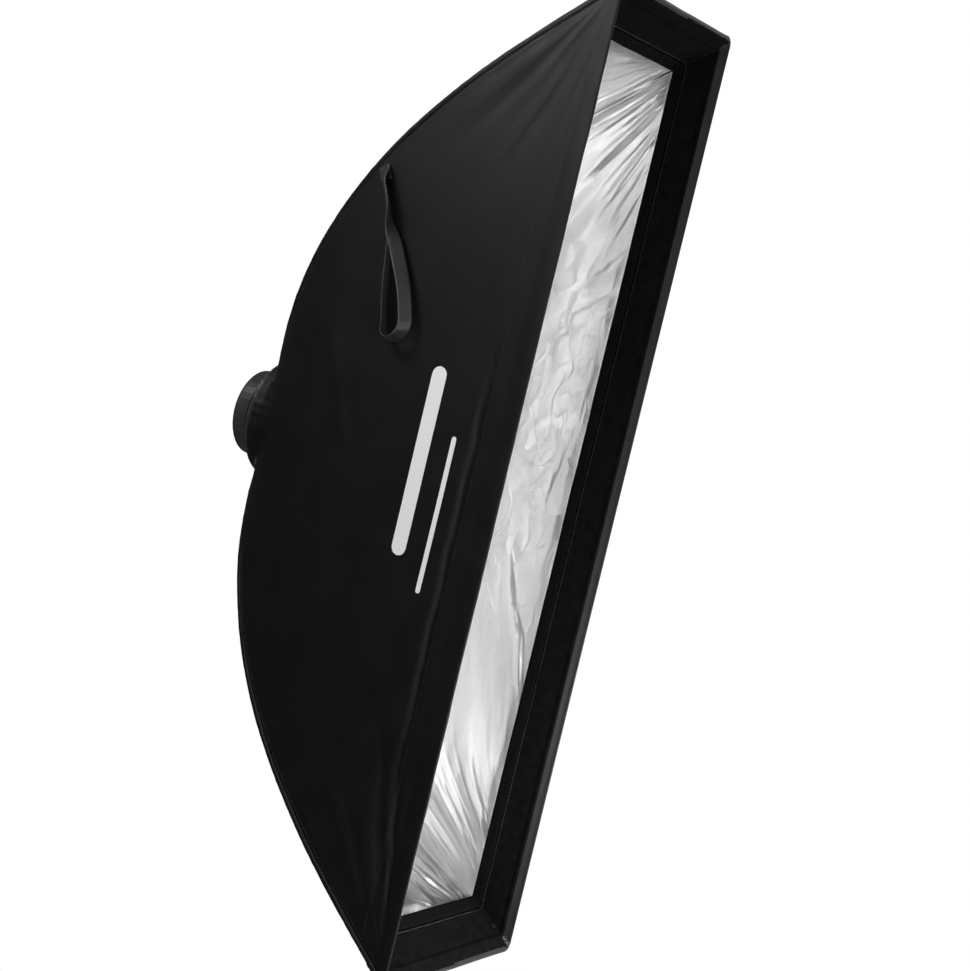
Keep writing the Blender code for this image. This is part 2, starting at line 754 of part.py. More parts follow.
def make_clamp_band(frame):
    """A steel band round the split collar, with an ear on each side of the split."""
    inner = BARREL_RADIUS + GAP
    outer = COLLAR_LIP
    profile = [(inner, BAND_REAR), (outer, BAND_REAR), (outer, BAND_FRONT), (inner, BAND_FRONT)]
    band = turned_object("clamp_band", profile, "black_metal", frame, TO_REAR)
    low = (inner + GAP, BAND_FRONT + EAR_SETBACK, -EAR_OUTER)
    high = (LATCH_X + EAR_REACH, BAND_REAR - EAR_SETBACK, EAR_OUTER)
    combine(band, box_mesh("ears", low, high), "UNION")
    low = (SPLIT_INNER, BAND_FRONT - CUT_PAST, -EAR_INNER)
    high = (LATCH_X + EAR_REACH + CUT_PAST, BAND_REAR + CUT_PAST, EAR_INNER)
    combine(band, box_mesh("split", low, high), "DIFFERENCE")
    reach = EAR_OUTER + CUT_PAST
    combine(band, cylinder_mesh("hole", BOLT_HOLE_RADIUS, -reach, reach), "DIFFERENCE", latch_place())


def make_clamp_bolt(frame):
    """The bolt through both ears, its eye on the lever's pin and its nut at the other end."""
    shank = cylinder_mesh("clamp_bolt", BOLT_RADIUS, -BOLT_END, PIN_Z - EYE_RADIUS / 2)
    bolt = add_object("clamp_bolt", shank, "steel", frame, latch_place())
    eye_place = latch_place(PIN_Z) @ TO_REAR
    eye = cylinder_mesh("eye", EYE_RADIUS, -EYE_HALF_WIDTH, EYE_HALF_WIDTH, CAM_SIDES)
    combine(bolt, eye, "UNION", eye_place)
    reach = EYE_HALF_WIDTH + CUT_PAST
    eye_hole = cylinder_mesh("eye_hole", PIN_RADIUS + GAP, -reach, reach)
    combine(bolt, eye_hole, "DIFFERENCE", eye_place)

    near = -EAR_OUTER - GAP
    body = cylinder_mesh("adjusting_nut", NUT_RADIUS, near - NUT_THICKNESS, near, 10)
    nut = add_object("adjusting_nut", body, "steel", frame, latch_place())
    bevel(nut, EDGE_CHAMFER, 1)
    thread = cylinder_mesh("thread", BOLT_RADIUS + GAP, near - NUT_THICKNESS - CUT_PAST, near + CUT_PAST)
    combine(nut, thread, "DIFFERENCE", latch_place())

    low = (-SADDLE_HALF_LENGTH, -LEVER_HALF_WIDTH, EAR_OUTER + GAP)
    high = (SADDLE_HALF_LENGTH, LEVER_HALF_WIDTH, SADDLE_TOP)
    washer = box_mesh("cam_saddle", low, high)
    saddle = add_object("cam_saddle", washer, "black_plastic", frame, latch_place())
    hole = cylinder_mesh("hole", BOLT_HOLE_RADIUS, EAR_OUTER - CUT_PAST, SADDLE_TOP + CUT_PAST)
    combine(saddle, hole, "DIFFERENCE", latch_place())

    reach = LEVER_HALF_WIDTH + GAP
    pin = cylinder_mesh("lever_pin", PIN_RADIUS, -reach, reach)
    add_object("lever_pin", pin, "steel", frame, eye_place)


def arc_bar_mesh(name, inner, outer, start, end, half_width, steps):
    """A bar of rectangular section bent round the Y axis, from one angle to another."""
    bm = bmesh.new()
    rings = []
    for angle in np.linspace(start, end, steps):
        corners = [(inner, -half_width), (outer, -half_width), (outer, half_width), (inner, half_width)]
        rings.append([bm.verts.new((r * math.cos(angle), y, r * math.sin(angle))) for r, y in corners])
    for ring, after in zip(rings, rings[1:]):
        for i in range(4):
            j = (i + 1) % 4
            bm.faces.new((ring[i], ring[j], after[j], after[i]))
    bm.faces.new(rings[0])
    bm.faces.new(rings[-1])
    return mesh_from(bm, name)


def make_cam_lever(lever_axis):
    """A curved lever that lies round the collar when shut, with two cam cheeks on the pin."""
    to_collar_axis = Matrix.Translation((-LATCH_X, 0, -PIN_Z))
    arm = arc_bar_mesh("cam_lever", LEVER_INNER, LEVER_OUTER, *LEVER_ARC, LEVER_HALF_WIDTH, 11)
    arm.transform(to_collar_axis)
    lever = add_object("cam_lever", arm, "black_metal", lever_axis)
    inner = EYE_HALF_WIDTH + EYE_CLEARANCE
    cam_place = Matrix.Translation((0, 0, -CAM_OFFSET)) @ TO_REAR
    for start, end in ((-LEVER_HALF_WIDTH, -inner), (inner, LEVER_HALF_WIDTH)):
        combine(lever, cylinder_mesh("cheek", CAM_RADIUS, start, end, CAM_SIDES), "UNION", cam_place)
    room = cylinder_mesh("room_for_eye", EYE_RADIUS + 2 * GAP, -inner, inner, CAM_SIDES)
    combine(lever, room, "DIFFERENCE", TO_REAR)
    reach = LEVER_HALF_WIDTH + CUT_PAST
    combine(lever, cylinder_mesh("pin_hole", PIN_RADIUS + GAP, -reach, reach), "DIFFERENCE", TO_REAR)


# ---------------------------------------------------------------- ribbon loop


def ribbon_place():
    """At the ribbon's root on the left panel: X across the ribbon's hang, Y down it, Z outward."""
    surface = PANEL_LIFT + PANEL_THICKNESS / 2
    travel = float(np.interp(LOOP_ROOT_Z, ROD_LINE[:, 2], SIDE.travel)) + SEAM_TO_TAB
    out, depth = SIDE.outside(travel, surface)
    out_next, depth_next = SIDE.outside(travel + 0.002, surface)
    forward = Vector((-(out_next - out), depth_next - depth, 0)).normalized()
    down = (math.cos(LOOP_LEAN) * Vector((0, 0, -1)) + math.sin(LOOP_LEAN) * forward).normalized()
    outward = forward.cross(Vector((0, 0, -1))).normalized()
    if outward.x > 0:
        outward = -outward
    across = down.cross(outward).normalized()
    turn = Matrix((across, down, outward)).transposed().to_4x4()
    return Matrix.Translation((-out, depth, LOOP_ROOT_Z - SEAM_TO_TAB / 2)) @ turn


def loop_outline(radius):
    """A drop: straight strands from the root to a round end of the given radius."""
    centre = LOOP_LENGTH - LOOP_BEND_RADIUS
    lean = math.asin(radius / centre)
    angles = np.linspace(-lean, math.pi + lean, 15)
    arc = [(radius * math.cos(a), centre + radius * math.sin(a)) for a in angles]
    return [(0.0, 0.0), *arc]


def make_strap(frame, strap_axis):
    place = ribbon_place()
    half = RIBBON_WIDTH / 2
    tab = box_mesh("strap_tab", (-half, TAB_START, GAP), (half, TAB_LENGTH, TAB_TOP))
    add_object("strap_tab", tab, "ribbon", frame, place)

    curve = bpy.data.curves.new("strap_loop", "CURVE")
    curve.dimensions = "2D"
    curve.fill_mode = "NONE"
    curve.extrude = RIBBON_WIDTH / 2
    outline = loop_outline(LOOP_BEND_RADIUS)
    spline = curve.splines.new("POLY")
    spline.points.add(len(outline) - 1)
    for point, (x, y) in zip(spline.points, outline):
        point.co = (x, y, 0, 1)
    spline.use_cyclic_u = True
    lift = Matrix.Translation((0, 0, RIBBON_CLEARANCE + RIBBON_WIDTH / 2))
    turn_only = place.to_3x3().to_4x4()
    strap = add_object("strap_loop", curve, "ribbon", strap_axis, turn_only @ lift)
    thicken(strap, RIBBON_THICKNESS)


# ---------------------------------------------------------------- assembly


def main():
    frame = add_empty("front_edge", (0, -DEPTH, 0))
    lever_axis = add_empty("lever_axis", (LATCH_X, LATCH_Y - DEPTH, PIN_Z))
    strap_axis = add_empty("strap_axis", ribbon_place().translation - Vector((0, DEPTH, 0)))

    make_collar(frame)
    make_liner_and_slip_ring(frame)
    make_retaining_ring(frame)
    make_clamp_band(frame)
    make_clamp_bolt(frame)
    make_cam_lever(lever_axis)

    make_speedring(frame)
    make_rear_cuff(frame)
    for name, sign in QUADRANTS.items():
        make_socket(frame, name, sign)
        make_rod(frame, name, sign)
        make_corner(frame, name, sign)
    make_fabric(frame)
    make_strap(frame, strap_axis)


main()
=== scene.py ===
import math

import bmesh
import bpy
import numpy as np
from mathutils import Matrix, Vector


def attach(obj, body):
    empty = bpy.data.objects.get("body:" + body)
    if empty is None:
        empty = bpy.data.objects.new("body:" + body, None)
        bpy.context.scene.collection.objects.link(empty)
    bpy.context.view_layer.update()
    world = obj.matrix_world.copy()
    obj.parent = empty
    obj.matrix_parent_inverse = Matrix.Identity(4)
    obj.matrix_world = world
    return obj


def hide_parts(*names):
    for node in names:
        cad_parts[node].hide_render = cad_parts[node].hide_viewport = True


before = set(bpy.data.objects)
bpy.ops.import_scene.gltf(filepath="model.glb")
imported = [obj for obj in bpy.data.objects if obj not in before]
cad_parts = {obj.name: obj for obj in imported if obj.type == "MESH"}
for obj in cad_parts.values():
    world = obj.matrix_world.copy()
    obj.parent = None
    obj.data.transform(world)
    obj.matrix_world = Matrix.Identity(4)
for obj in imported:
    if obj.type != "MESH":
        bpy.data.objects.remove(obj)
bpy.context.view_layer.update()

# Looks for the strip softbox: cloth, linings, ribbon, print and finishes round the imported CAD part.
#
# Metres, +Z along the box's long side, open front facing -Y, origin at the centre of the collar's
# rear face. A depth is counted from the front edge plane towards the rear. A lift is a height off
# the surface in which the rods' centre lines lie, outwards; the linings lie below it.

# Sizes shared with the CAD part.
LENGTH = 1.200
WIDTH = 0.311
DEPTH = 0.465
ROD_MOUTH = 0.060
ROD_DEPTH = 0.4025
CORNER_X = WIDTH / 2 - 0.0045
CORNER_Z = LENGTH / 2 - 0.0055
SLEEVE_RADIUS = 0.005
PANEL_LIFT = 0.0035
LINING_LIFT = -0.0058
HEM_DEPTH = 0.013
HEM_LIFT = 0.0045
HEM_NOSE = 0.0013  # radius of the fold at the very front
FACING_LIFT = -0.0032
FACING_THICKNESS = 0.0012
BAND_DEPTH = 0.048
TAPE_DEPTH = 0.062
TAPE_LIFT = -0.0036
TAPE_THICKNESS = 0.0015
RING_RADIUS = 0.078
RING_FRONT = 0.4095
CUFF_REAR = 0.4215
POCKET_END = 0.036

# Cloth.
ROD_POINTS = 61
CORNER_ROUNDING = 0.0075  # of the front band at the rods' surface
PANEL_SAG = 0.0045  # how far a panel's middle is pulled inwards
SHEET_THICKNESS = 0.0009
PANEL_FRONT = 0.0006  # the outer panel's cloth turns over the front edge this near its front
PULL_REACH = 0.32  # how far the folds run that the front corners pull in the cloth
RIBBON_THICKNESS = 0.0011
RIBBON_WIDTH = 0.017

WALLS = {"left": (0, -1), "right": (0, 1), "bottom": (2, -1), "top": (2, 1)}
QUADRANTS = {
    "top_left": (-1, 1),
    "top_right": (1, 1),
    "bottom_left": (-1, -1),
    "bottom_right": (1, -1),
}


# ---------------------------------------------------------------- looks


class Look:
    """A Principled material under construction."""

    def __init__(self, name, colour, roughness, metallic=0.0, **sockets):
        self.material = bpy.data.materials.new(name)
        self.material.use_nodes = True
        self.tree = self.material.node_tree
        self.shader = self.tree.nodes["Principled BSDF"]
        self.shader.inputs["Base Color"].default_value = (*colour, 1.0)
        self.shader.inputs["Roughness"].default_value = roughness
        self.shader.inputs["Metallic"].default_value = metallic
        for socket, value in sockets.items():
            self.shader.inputs[socket.replace("_", " ")].default_value = value
        self.last_bump = None

    def add(self, kind, inputs=None, **settings):
        node = self.tree.nodes.new(kind)
        for key, value in settings.items():
            setattr(node, key, value)
        for key, value in (inputs or {}).items():
            if isinstance(value, bpy.types.NodeSocket):
                self.tree.links.new(value, node.inputs[key])
            else:
                node.inputs[key].default_value = value
        return node

    def place(self, source, stretch=(1.0, 1.0, 1.0)):
        coordinates = self.add("ShaderNodeTexCoord").outputs[source]
        return self.add("ShaderNodeMapping", {"Vector": coordinates, "Scale": stretch}).outputs["Vector"]

    def noise(self, size, detail=3.0, stretch=(1.0, 1.0, 1.0), source="Object"):
        """Cloudy noise whose features are about size metres across."""
        inputs = {"Vector": self.place(source, stretch), "Scale": 1.0 / size, "Detail": detail}
        return self.add("ShaderNodeTexNoise", inputs).outputs["Fac"]

    def threads(self, pitch, direction):
        """Parallel threads in the cloth's own flat coordinates."""
        inputs = {"Vector": self.place("UV"), "Scale": math.pi / (10.0 * pitch)}
        wave = self.add("ShaderNodeTexWave", inputs, bands_direction=direction)
        return wave.outputs["Fac"]

    def weave(self, pitch):
        """Warp and weft, one over the other."""
        inputs = {0: self.threads(pitch, "X"), 1: self.threads(pitch, "Y")}
        return self.add("ShaderNodeMath", inputs, operation="MULTIPLY").outputs[0]

    def pulled_threads(self, fineness, shortness):
        """Fine streaks that run out from the nearest front corner and fade away from it."""
        polar = self.add("ShaderNodeUVMap", uv_map="pull").outputs["UV"]
        stretch = self.add("ShaderNodeMapping", {"Vector": polar, "Scale": (fineness, shortness, 1.0)})
        inputs = {"Vector": stretch.outputs["Vector"], "Scale": 1.0, "Detail": 2.0}
        streaks = self.add("ShaderNodeTexNoise", inputs).outputs["Fac"]
        radius = self.add("ShaderNodeSeparateXYZ", {"Vector": polar}).outputs["Y"]
        near = self.spread(radius, 1.0, 0.0, PULL_REACH / 3, PULL_REACH)
        return self.add("ShaderNodeMath", {0: streaks, 1: near}, operation="MULTIPLY").outputs[0]

    def creases(self, size, stretch):
        """Thin raised lines that wander over the cloth about size apart, in the middle of its height."""
        away = self.add("ShaderNodeMath", {0: self.noise(size, 1.0, stretch), 1: 0.5}, operation="SUBTRACT")
        away = self.add("ShaderNodeMath", {0: away.outputs[0]}, operation="ABSOLUTE")
        lines = self.spread(away.outputs[0], 1.0, 0.0, 0.0, 0.022)
        height = self.add("ShaderNodeSeparateXYZ", {"Vector": self.place("Object")}).outputs["Z"]
        height = self.add("ShaderNodeMath", {0: height}, operation="ABSOLUTE").outputs[0]
        inputs = {0: lines, 1: self.spread(height, 1.0, 0.0, 0.20, 0.36)}
        return self.add("ShaderNodeMath", inputs, operation="MULTIPLY").outputs[0]

    def spread(self, value, low, high, start=0.3, end=0.7):
        inputs = {"Value": value, "From Min": start, "From Max": end, "To Min": low, "To Max": high}
        return self.add("ShaderNodeMapRange", inputs).outputs["Result"]

    def vary_roughness(self, value, low, high):
        self.tree.links.new(self.spread(value, low, high), self.shader.inputs["Roughness"])
        return self

    def vary_colour(self, value, dark, light):
        mix = self.add(
            "ShaderNodeMix",
            {0: self.spread(value, 0.0, 1.0), 6: (*dark, 1.0), 7: (*light, 1.0)},
            data_type="RGBA",
        )
        self.tree.links.new(mix.outputs[2], self.shader.inputs["Base Color"])
        return self

    def bump(self, value, height, strength=1.0):
        inputs = {"Height": value, "Distance": height, "Strength": strength}
        if self.last_bump:
            inputs["Normal"] = self.last_bump
        self.last_bump = self.add("ShaderNodeBump", inputs).outputs["Normal"]
        self.tree.links.new(self.last_bump, self.shader.inputs["Normal"])
        return self


def grey(value, tint=0.0):
    return (value, value, value * (1.0 + tint))


def black_fabric():
    """Closely woven black nylon with a slight sheen."""
    look = Look("black_fabric", grey(0.0018), 0.47, Specular_IOR_Level=0.33)
    look.vary_roughness(look.noise(0.05), 0.43, 0.52)
    look.bump(look.noise(0.006, detail=4.0), 0.0004, 0.3)
    look.bump(look.pulled_threads(30.0, 6.0), 0.0004, 0.6)
    return look.bump(look.weave(0.0006), 0.0001, 0.5).material


def band_fabric():
    """The front band's brushed cloth."""
    look = Look("band_fabric", grey(0.005), 0.85, Specular_IOR_Level=0.0)
    look.vary_colour(look.noise(0.012, detail=5.0), grey(0.0045), grey(0.0075))
    return look.bump(look.noise(0.0012, detail=4.0), 0.0005, 0.7).material


def hook_tape():
    look = Look("hook_tape", grey(0.006), 0.95, Specular_IOR_Level=0.0)
    look.vary_colour(look.noise(0.0015, detail=2.0), grey(0.003), grey(0.010))
    return look.bump(look.noise(0.0008, detail=2.0), 0.0008, 1.0).material


def silver_fabric():
    """Metallised lining cloth: bright, streaked where it is pulled, finely crushed elsewhere."""
    look = Look("silver_fabric", grey(0.86), 0.33, 1.0)
    look.vary_roughness(look.noise(0.03), 0.29, 0.37)
    look.bump(look.pulled_threads(42.0, 5.0), 0.0007, 0.9)
    look.bump(look.creases(0.045, (1.0, 1.0, 0.5)), 0.0004, 0.5)
    return look.bump(look.creases(0.020, (1.0, 1.0, 0.7)), 0.00022, 0.5).material


def ribbon_satin():
    look = Look("ribbon", grey(0.022), 0.38, Specular_IOR_Level=0.6, Sheen_Weight=0.05)
    look.vary_roughness(look.noise(0.01), 0.31, 0.41)
    return look.bump(look.threads(0.0009, "X"), 0.00012, 0.5).material


def thread_look(name, value):
    look = Look(name, grey(value), 0.7, Sheen_Weight=0.3)
    return look.bump(look.noise(0.0005), 0.0002, 0.6).material


def print_ink():
    look = Look("print_ink", grey(0.95), 0.5)
    look.vary_colour(look.noise(0.004, detail=4.0), grey(0.92), grey(0.97))
    return look.bump(look.weave(0.0006), 0.0001, 0.4).material


def moulded_plastic():
    look = Look("black_plastic", grey(0.035), 0.36)
    look.vary_roughness(look.noise(0.008), 0.30, 0.42)
    return look.bump(look.noise(0.0006, detail=2.0), 0.0001, 0.35).material


def painted_metal():
    look = Look("black_metal", grey(0.05), 0.34, 0.3)
    look.vary_roughness(look.noise(0.01, detail=5.0), 0.26, 0.40)
    return look.bump(look.noise(0.0005, detail=2.0), 0.00008, 0.4).material


def brushed_steel():
    look = Look("steel", grey(0.55, 0.03), 0.28, 1.0)
    look.vary_roughness(look.noise(0.002, detail=4.0), 0.22, 0.38)
    return look.bump(look.noise(0.0008, 3.0, (1.0, 12.0, 1.0)), 0.00005, 0.4).material


def soft_rubber():
    look = Look("rubber", grey(0.012), 0.8)
    return look.bump(look.noise(0.001), 0.0002, 0.5).material


def white_nylon():
    look = Look("nylon", (0.7, 0.69, 0.64), 0.45, Subsurface_Weight=0.1)
    return look.vary_roughness(look.noise(0.01), 0.4, 0.5).material


def fibre_rod():
    look = Look("rod", grey(0.03), 0.3, Coat_Weight=0.3)
    return look.bump(look.noise(0.001, 2.0, (1.0, 1.0, 8.0)), 0.0001, 0.4).material


LOOKS = {
    "black_fabric": black_fabric(),
    "band_fabric": band_fabric(),
    "hook_tape": hook_tape(),
    "silver_fabric": silver_fabric(),
    "ribbon": ribbon_satin(),
    "black_thread": thread_look("black_thread", 0.03),
    "grey_thread": thread_look("grey_thread", 0.06),
    "print_ink": print_ink(),
    "black_plastic": moulded_plastic(),
    "black_metal": painted_metal(),
    "steel": brushed_steel(),
    "rubber": soft_rubber(),
    "nylon": white_nylon(),
    "rod": fibre_rod(),
}

CAD_LOOKS = {
    "mount_collar": "black_plastic",
    "rod_socket": "black_plastic",
    "cam_saddle": "black_plastic",
    "speedring": "black_metal",
    "retaining_ring": "black_metal",
    "clamp_band": "black_metal",
    "cam_lever": "black_metal",
    "retaining_screw": "steel",
    "socket_screw": "steel",
    "clamp_bolt": "steel",
    "adjusting_nut": "steel",
    "lever_pin": "steel",
    "collar_liner": "rubber",
    "rod_tip": "rubber",
    "slip_ring": "nylon",
    "rod_top": "rod",
    "rod_bottom": "rod",
}


def finish_cad_nodes():
    """Gives every CAD node that stays in sight its finish."""
    for name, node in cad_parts.items():
        for start, look in CAD_LOOKS.items():
            if name.startswith(start):
                node.data.materials.clear()
                node.data.materials.append(LOOKS[look])


# ---------------------------------------------------------------- noise


def lattice(seed, size=256):
    """A repeatable value from -1 to 1 for every whole-numbered place."""
    table = np.random.default_rng(seed).uniform(-1.0, 1.0, (size, size))
    return lambda u, v: table[u % size, v % size]


def smooth_noise(u, v, seed):
    """Smooth values from -1 to 1, one independent value per unit square."""
    value = lattice(seed)
    u, v = np.broadcast_arrays(u, v)
    cell_u, cell_v = np.floor(u).astype(int), np.floor(v).astype(int)
    part_u, part_v = u - cell_u, v - cell_v
    part_u = part_u**3 * (part_u * (6 * part_u - 15) + 10)
    part_v = part_v**3 * (part_v * (6 * part_v - 15) + 10)
    near = value(cell_u, cell_v) * (1 - part_u) + value(cell_u + 1, cell_v) * part_u
    far = value(cell_u, cell_v + 1) * (1 - part_u) + value(cell_u + 1, cell_v + 1) * part_u
    return near * (1 - part_v) + far * part_v


def facets(u, v, size, seed):
    """A crushed sheet, -1 to 1: flat triangles about size across that meet in sharp creases."""
    value = lattice(seed)
    heading = 1.1 * seed
    along = (u * math.cos(heading) + v * math.sin(heading)) / size
    aside = (v * math.cos(heading) - u * math.sin(heading)) / size
    bent_u = along + 0.35 * smooth_noise(0.3 * along, 0.3 * aside, seed + 1)
    bent_v = aside + 0.35 * smooth_noise(0.3 * along, 0.3 * aside, seed + 2)
    cell_u, cell_v = np.floor(bent_u).astype(int), np.floor(bent_v).astype(int)
    part_u, part_v = bent_u - cell_u, bent_v - cell_v
    beside, ahead = value(cell_u + 1, cell_v), value(cell_u, cell_v + 1)
    lower = value(cell_u, cell_v) * (1 - part_u - part_v) + beside * part_u + ahead * part_v
    upper = value(cell_u + 1, cell_v + 1) * (part_u + part_v - 1) + beside * (1 - part_v) + ahead * (1 - part_u)
    return np.where(part_u + part_v > 1, upper, lower)


def bell(distance, width):
    return np.exp(-((distance / width) ** 2))


def rise(value, start, end):
    """0 before start, 1 after end, smooth between."""
    share = np.clip((value - start) / (end - start), 0.0, 1.0)
    return share * share * (3.0 - 2.0 * share)


def crumple(u, v, seed, sizes, slope):
    """Creases of several sizes laid over each other, all about as steep."""
    return sum(slope * size * facets(u, v, size, seed + 11 * n) for n, size in enumerate(sizes))


def pulled_folds(radius, angle, across, seed, counts, slope):
    """Tension folds that run out from a corner, counts of them per radian, and die away.

    The two corners at the ends of a row have folds of their own, which fade to the row's middle.
    """
    angle = angle + 7.0 * np.sign(across)
    drift = 0.04 * smooth_noise(radius / 0.12, angle * 2, seed + 7)
    total = np.zeros(radius.shape)
    for number, count in enumerate(counts):
        total += smooth_noise((angle + drift) * count, radius / 0.19, seed + number) / count
    fade = bell(radius, 0.6 * PULL_REACH) * rise(radius, 0.01, 0.04) * rise(np.abs(across), 0.0, 0.07)
    return slope * radius * total * fade


def long_fold(u, v, start, end, width, height):
    """A single soft fold between two points, fading at both ends."""
    start, end = np.array(start), np.array(end)
    along = (end - start) / np.linalg.norm(end - start)
    span = np.linalg.norm(end - start)
    travel = (u - start[0]) * along[0] + (v - start[1]) * along[1]
    away = (v - start[1]) * along[0] - (u - start[0]) * along[1]
    away = away + 0.35 * width * smooth_noise(travel / (4 * width), 0.0, 5)
    share = travel / span
    return height * bell(away, width) * rise(share, -0.05, 0.2) * (1 - rise(share, 0.75, 1.05))


# ---------------------------------------------------------------- the rods' surface


def bent_rod():
    """(x, depth, z) rows of the +X +Z rod's centre line, by the CAD part's rule."""
    reach_x, reach_z = CORNER_X - ROD_MOUTH, CORNER_Z - ROD_MOUTH
    reach = math.hypot(reach_x, reach_z)
    share = np.linspace(0.0, 1.0, 400)
    low, high = 0.3, 1.5
    for _ in range(60):
        turn = (low + high) / 2
        slope = turn * (2 * share - share**2)
        run, drop = running_sum(np.cos(slope), share), running_sum(np.sin(slope), share)
        if drop[-1] / run[-1] < ROD_DEPTH / reach:
            low = turn
        else:
            high = turn
    length = reach / run[-1]
    picks = np.linspace(0.0, 1.0, ROD_POINTS)
    run = np.interp(picks, share, run) * length
    drop = np.interp(picks, share, drop) * length
    x, z = ROD_MOUTH + reach_x / reach * run, ROD_MOUTH + reach_z / reach * run
    return np.stack([x, ROD_DEPTH - drop, z], axis=1)


def running_sum(values, steps):
    middle = (values[1:] + values[:-1]) / 2 * np.diff(steps)
    return np.concatenate([[0.0], np.cumsum(middle)])


ROD_LINE = bent_rod()


class Wall:
    """One side of the box: straight rulings from rod to rod, along a profile from ring to front."""

    def __init__(self, where):
        self.where = where
        self.outward_axis, self.side = WALLS[where]
        self.ruling_axis = 2 - self.outward_axis
        self.out = ROD_LINE[:, self.outward_axis]
        self.depth = ROD_LINE[:, 1]
        self.half = ROD_LINE[:, self.ruling_axis]
        steps = np.hypot(np.diff(self.out), np.diff(self.depth))
        self.travel = np.concatenate([[0.0], np.cumsum(steps)])
        d_out = np.gradient(self.out, self.travel)
        d_depth = np.gradient(self.depth, self.travel)
        size = np.hypot(d_out, d_depth)
        self.facing_out, self.facing_depth = -d_depth / size, d_out / size

    def half_width(self, travel, inset=0.0):
        """Half the ruling, its end drawn in from the rod square to the rod."""
        along, across = np.gradient(self.travel), np.gradient(self.half)
        size = np.hypot(along, across)
        return np.interp(travel, self.travel + inset * across / size, self.half - inset * along / size)

    def travel_at(self, depth):
        return np.interp(-np.asarray(depth), -self.depth, self.travel)

    def depth_at(self, travel):
        return np.interp(travel, self.travel, self.depth)

    def place(self, out, depth, across):
        out, depth, across = np.broadcast_arrays(out, depth, across)
        points = np.zeros((*out.shape, 3))
        points[..., self.outward_axis] = self.side * out
        points[..., 1] = depth - DEPTH
        points[..., self.ruling_axis] = across
        return points

    def points(self, travel, across, lift):
        """Places on the wall, raised square to it."""
        out = np.interp(travel, self.travel, self.out)
        depth = np.interp(travel, self.travel, self.depth)
        out = out + lift * np.interp(travel, self.travel, self.facing_out)
        depth = depth + lift * np.interp(travel, self.travel, self.facing_depth)
        return self.place(out, depth, across)

    def out_at(self, depth, lift):
        """How far out the raised surface is, straight outwards at a depth."""
        travel = self.travel_at(depth)
        facing = np.interp(travel, self.travel, self.facing_out)
        return np.interp(travel, self.travel, self.out) + lift / facing

    def neighbour(self):
        return WALL["top" if self.outward_axis == 0 else "right"]

    def seam_half(self, travel, lift):
        """Half the ruling of a sheet raised off the wall, out to where its neighbour's sheet crosses."""
        depth = self.depth_at(travel) + lift * np.interp(travel, self.travel, self.facing_depth)
        return self.neighbour().out_at(depth, lift)

    def flat_area(self, inset, front_depth):
        travel = np.linspace(0.0, float(self.travel_at(front_depth)), 200)
        return float(running_sum(2 * self.half_width(travel, inset), travel)[-1])


WALL = {where: Wall(where) for where in WALLS}


# ---------------------------------------------------------------- mesh helpers


def grid_faces(rows, columns, wrap=False):
    row, column = np.meshgrid(np.arange(rows - 1), np.arange(columns - (not wrap)), indexing="ij")
    here = row * columns + column
    beside = row * columns + (column + 1) % columns
    return np.stack([here, beside, beside + columns, here + columns], axis=-1).reshape(-1, 4)


def add_piece(name, points, faces, look, body="softbox", **maps):
    """A named piece that rides on a body. cloth gives each point's flat place, in metres; pull is
    its heading and distance from a front corner."""
    points = np.asarray(points, float).reshape(-1, 3)
    mesh = bpy.data.meshes.new(name)
    mesh.from_pydata(points.tolist(), [], [list(face) for face in faces])
    corners = np.zeros(len(mesh.loops), np.int32)
    mesh.loops.foreach_get("vertex_index", corners)
    for map_name, places in maps.items():
        places = np.asarray(places, float).reshape(-1, 2)[corners]
        mesh.uv_layers.new(name=map_name).data.foreach_set("uv", places.ravel())
    mesh.shade_smooth()
    mesh.materials.append(LOOKS[look])
    piece = bpy.data.objects.new(name, mesh)
    bpy.context.scene.collection.objects.link(piece)
    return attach(piece, body)


def close_outwards(piece):
    """Turns a closed piece's faces to the outside."""
    bm = bmesh.new()
    bm.from_mesh(piece.data)
    bmesh.ops.recalc_face_normals(bm, faces=bm.faces)
    bm.to_mesh(piece.data)
    bm.free()


def thicken(piece, thickness, offset=0.0):
    solidify = piece.modifiers.new("thickness", "SOLIDIFY")
    solidify.thickness = thickness
    solidify.offset = offset


def flat_map(first, second):
    return np.stack(np.broadcast_arrays(first, second), axis=-1)


def add_closed_sweep(name, points, look, body="softbox", **maps):
    """A solid from rings of points, points[station, ring place], with both ends closed flat."""
    stations, count = points.shape[:2]
    faces = [list(face) for face in grid_faces(stations, count, wrap=True)]
    faces.append(list(range(count)))
    faces.append(list(range((stations - 1) * count, stations * count)))
    piece = add_piece(name, points, faces, look, body, **maps)
    close_outwards(piece)
    return piece


def swept_tube(name, centres, section, look, body="softbox"):
    """A tube along a line; section(travel, angle) is its radius. The zero angle points outwards."""
    centres = np.asarray(centres)
    ahead = np.gradient(centres, axis=0)
    ahead /= np.linalg.norm(ahead, axis=1)[:, None]
    outward = centres * [1.0, 0.0, 1.0]
    outward -= ahead * (outward * ahead).sum(1)[:, None]
    outward /= np.linalg.norm(outward, axis=1)[:, None]
    aside = np.cross(ahead, outward)
    travel = np.concatenate([[0.0], np.cumsum(np.linalg.norm(np.diff(centres, axis=0), axis=1))])
    angle = np.linspace(0.0, 2 * math.pi, TUBE_SIDES, endpoint=False)
    radius = section(travel[:, None], angle[None, :])
    spokes = outward[:, None] * np.cos(angle)[None, :, None] + aside[:, None] * np.sin(angle)[None, :, None]
    points = centres[:, None] + radius[..., None] * spokes
    cloth = flat_map(angle * SLEEVE_RADIUS, travel[:, None])
    return add_closed_sweep(name, points, look, body, cloth=cloth)


TUBE_SIDES = 20


# ---------------------------------------------------------------- outer panels and linings


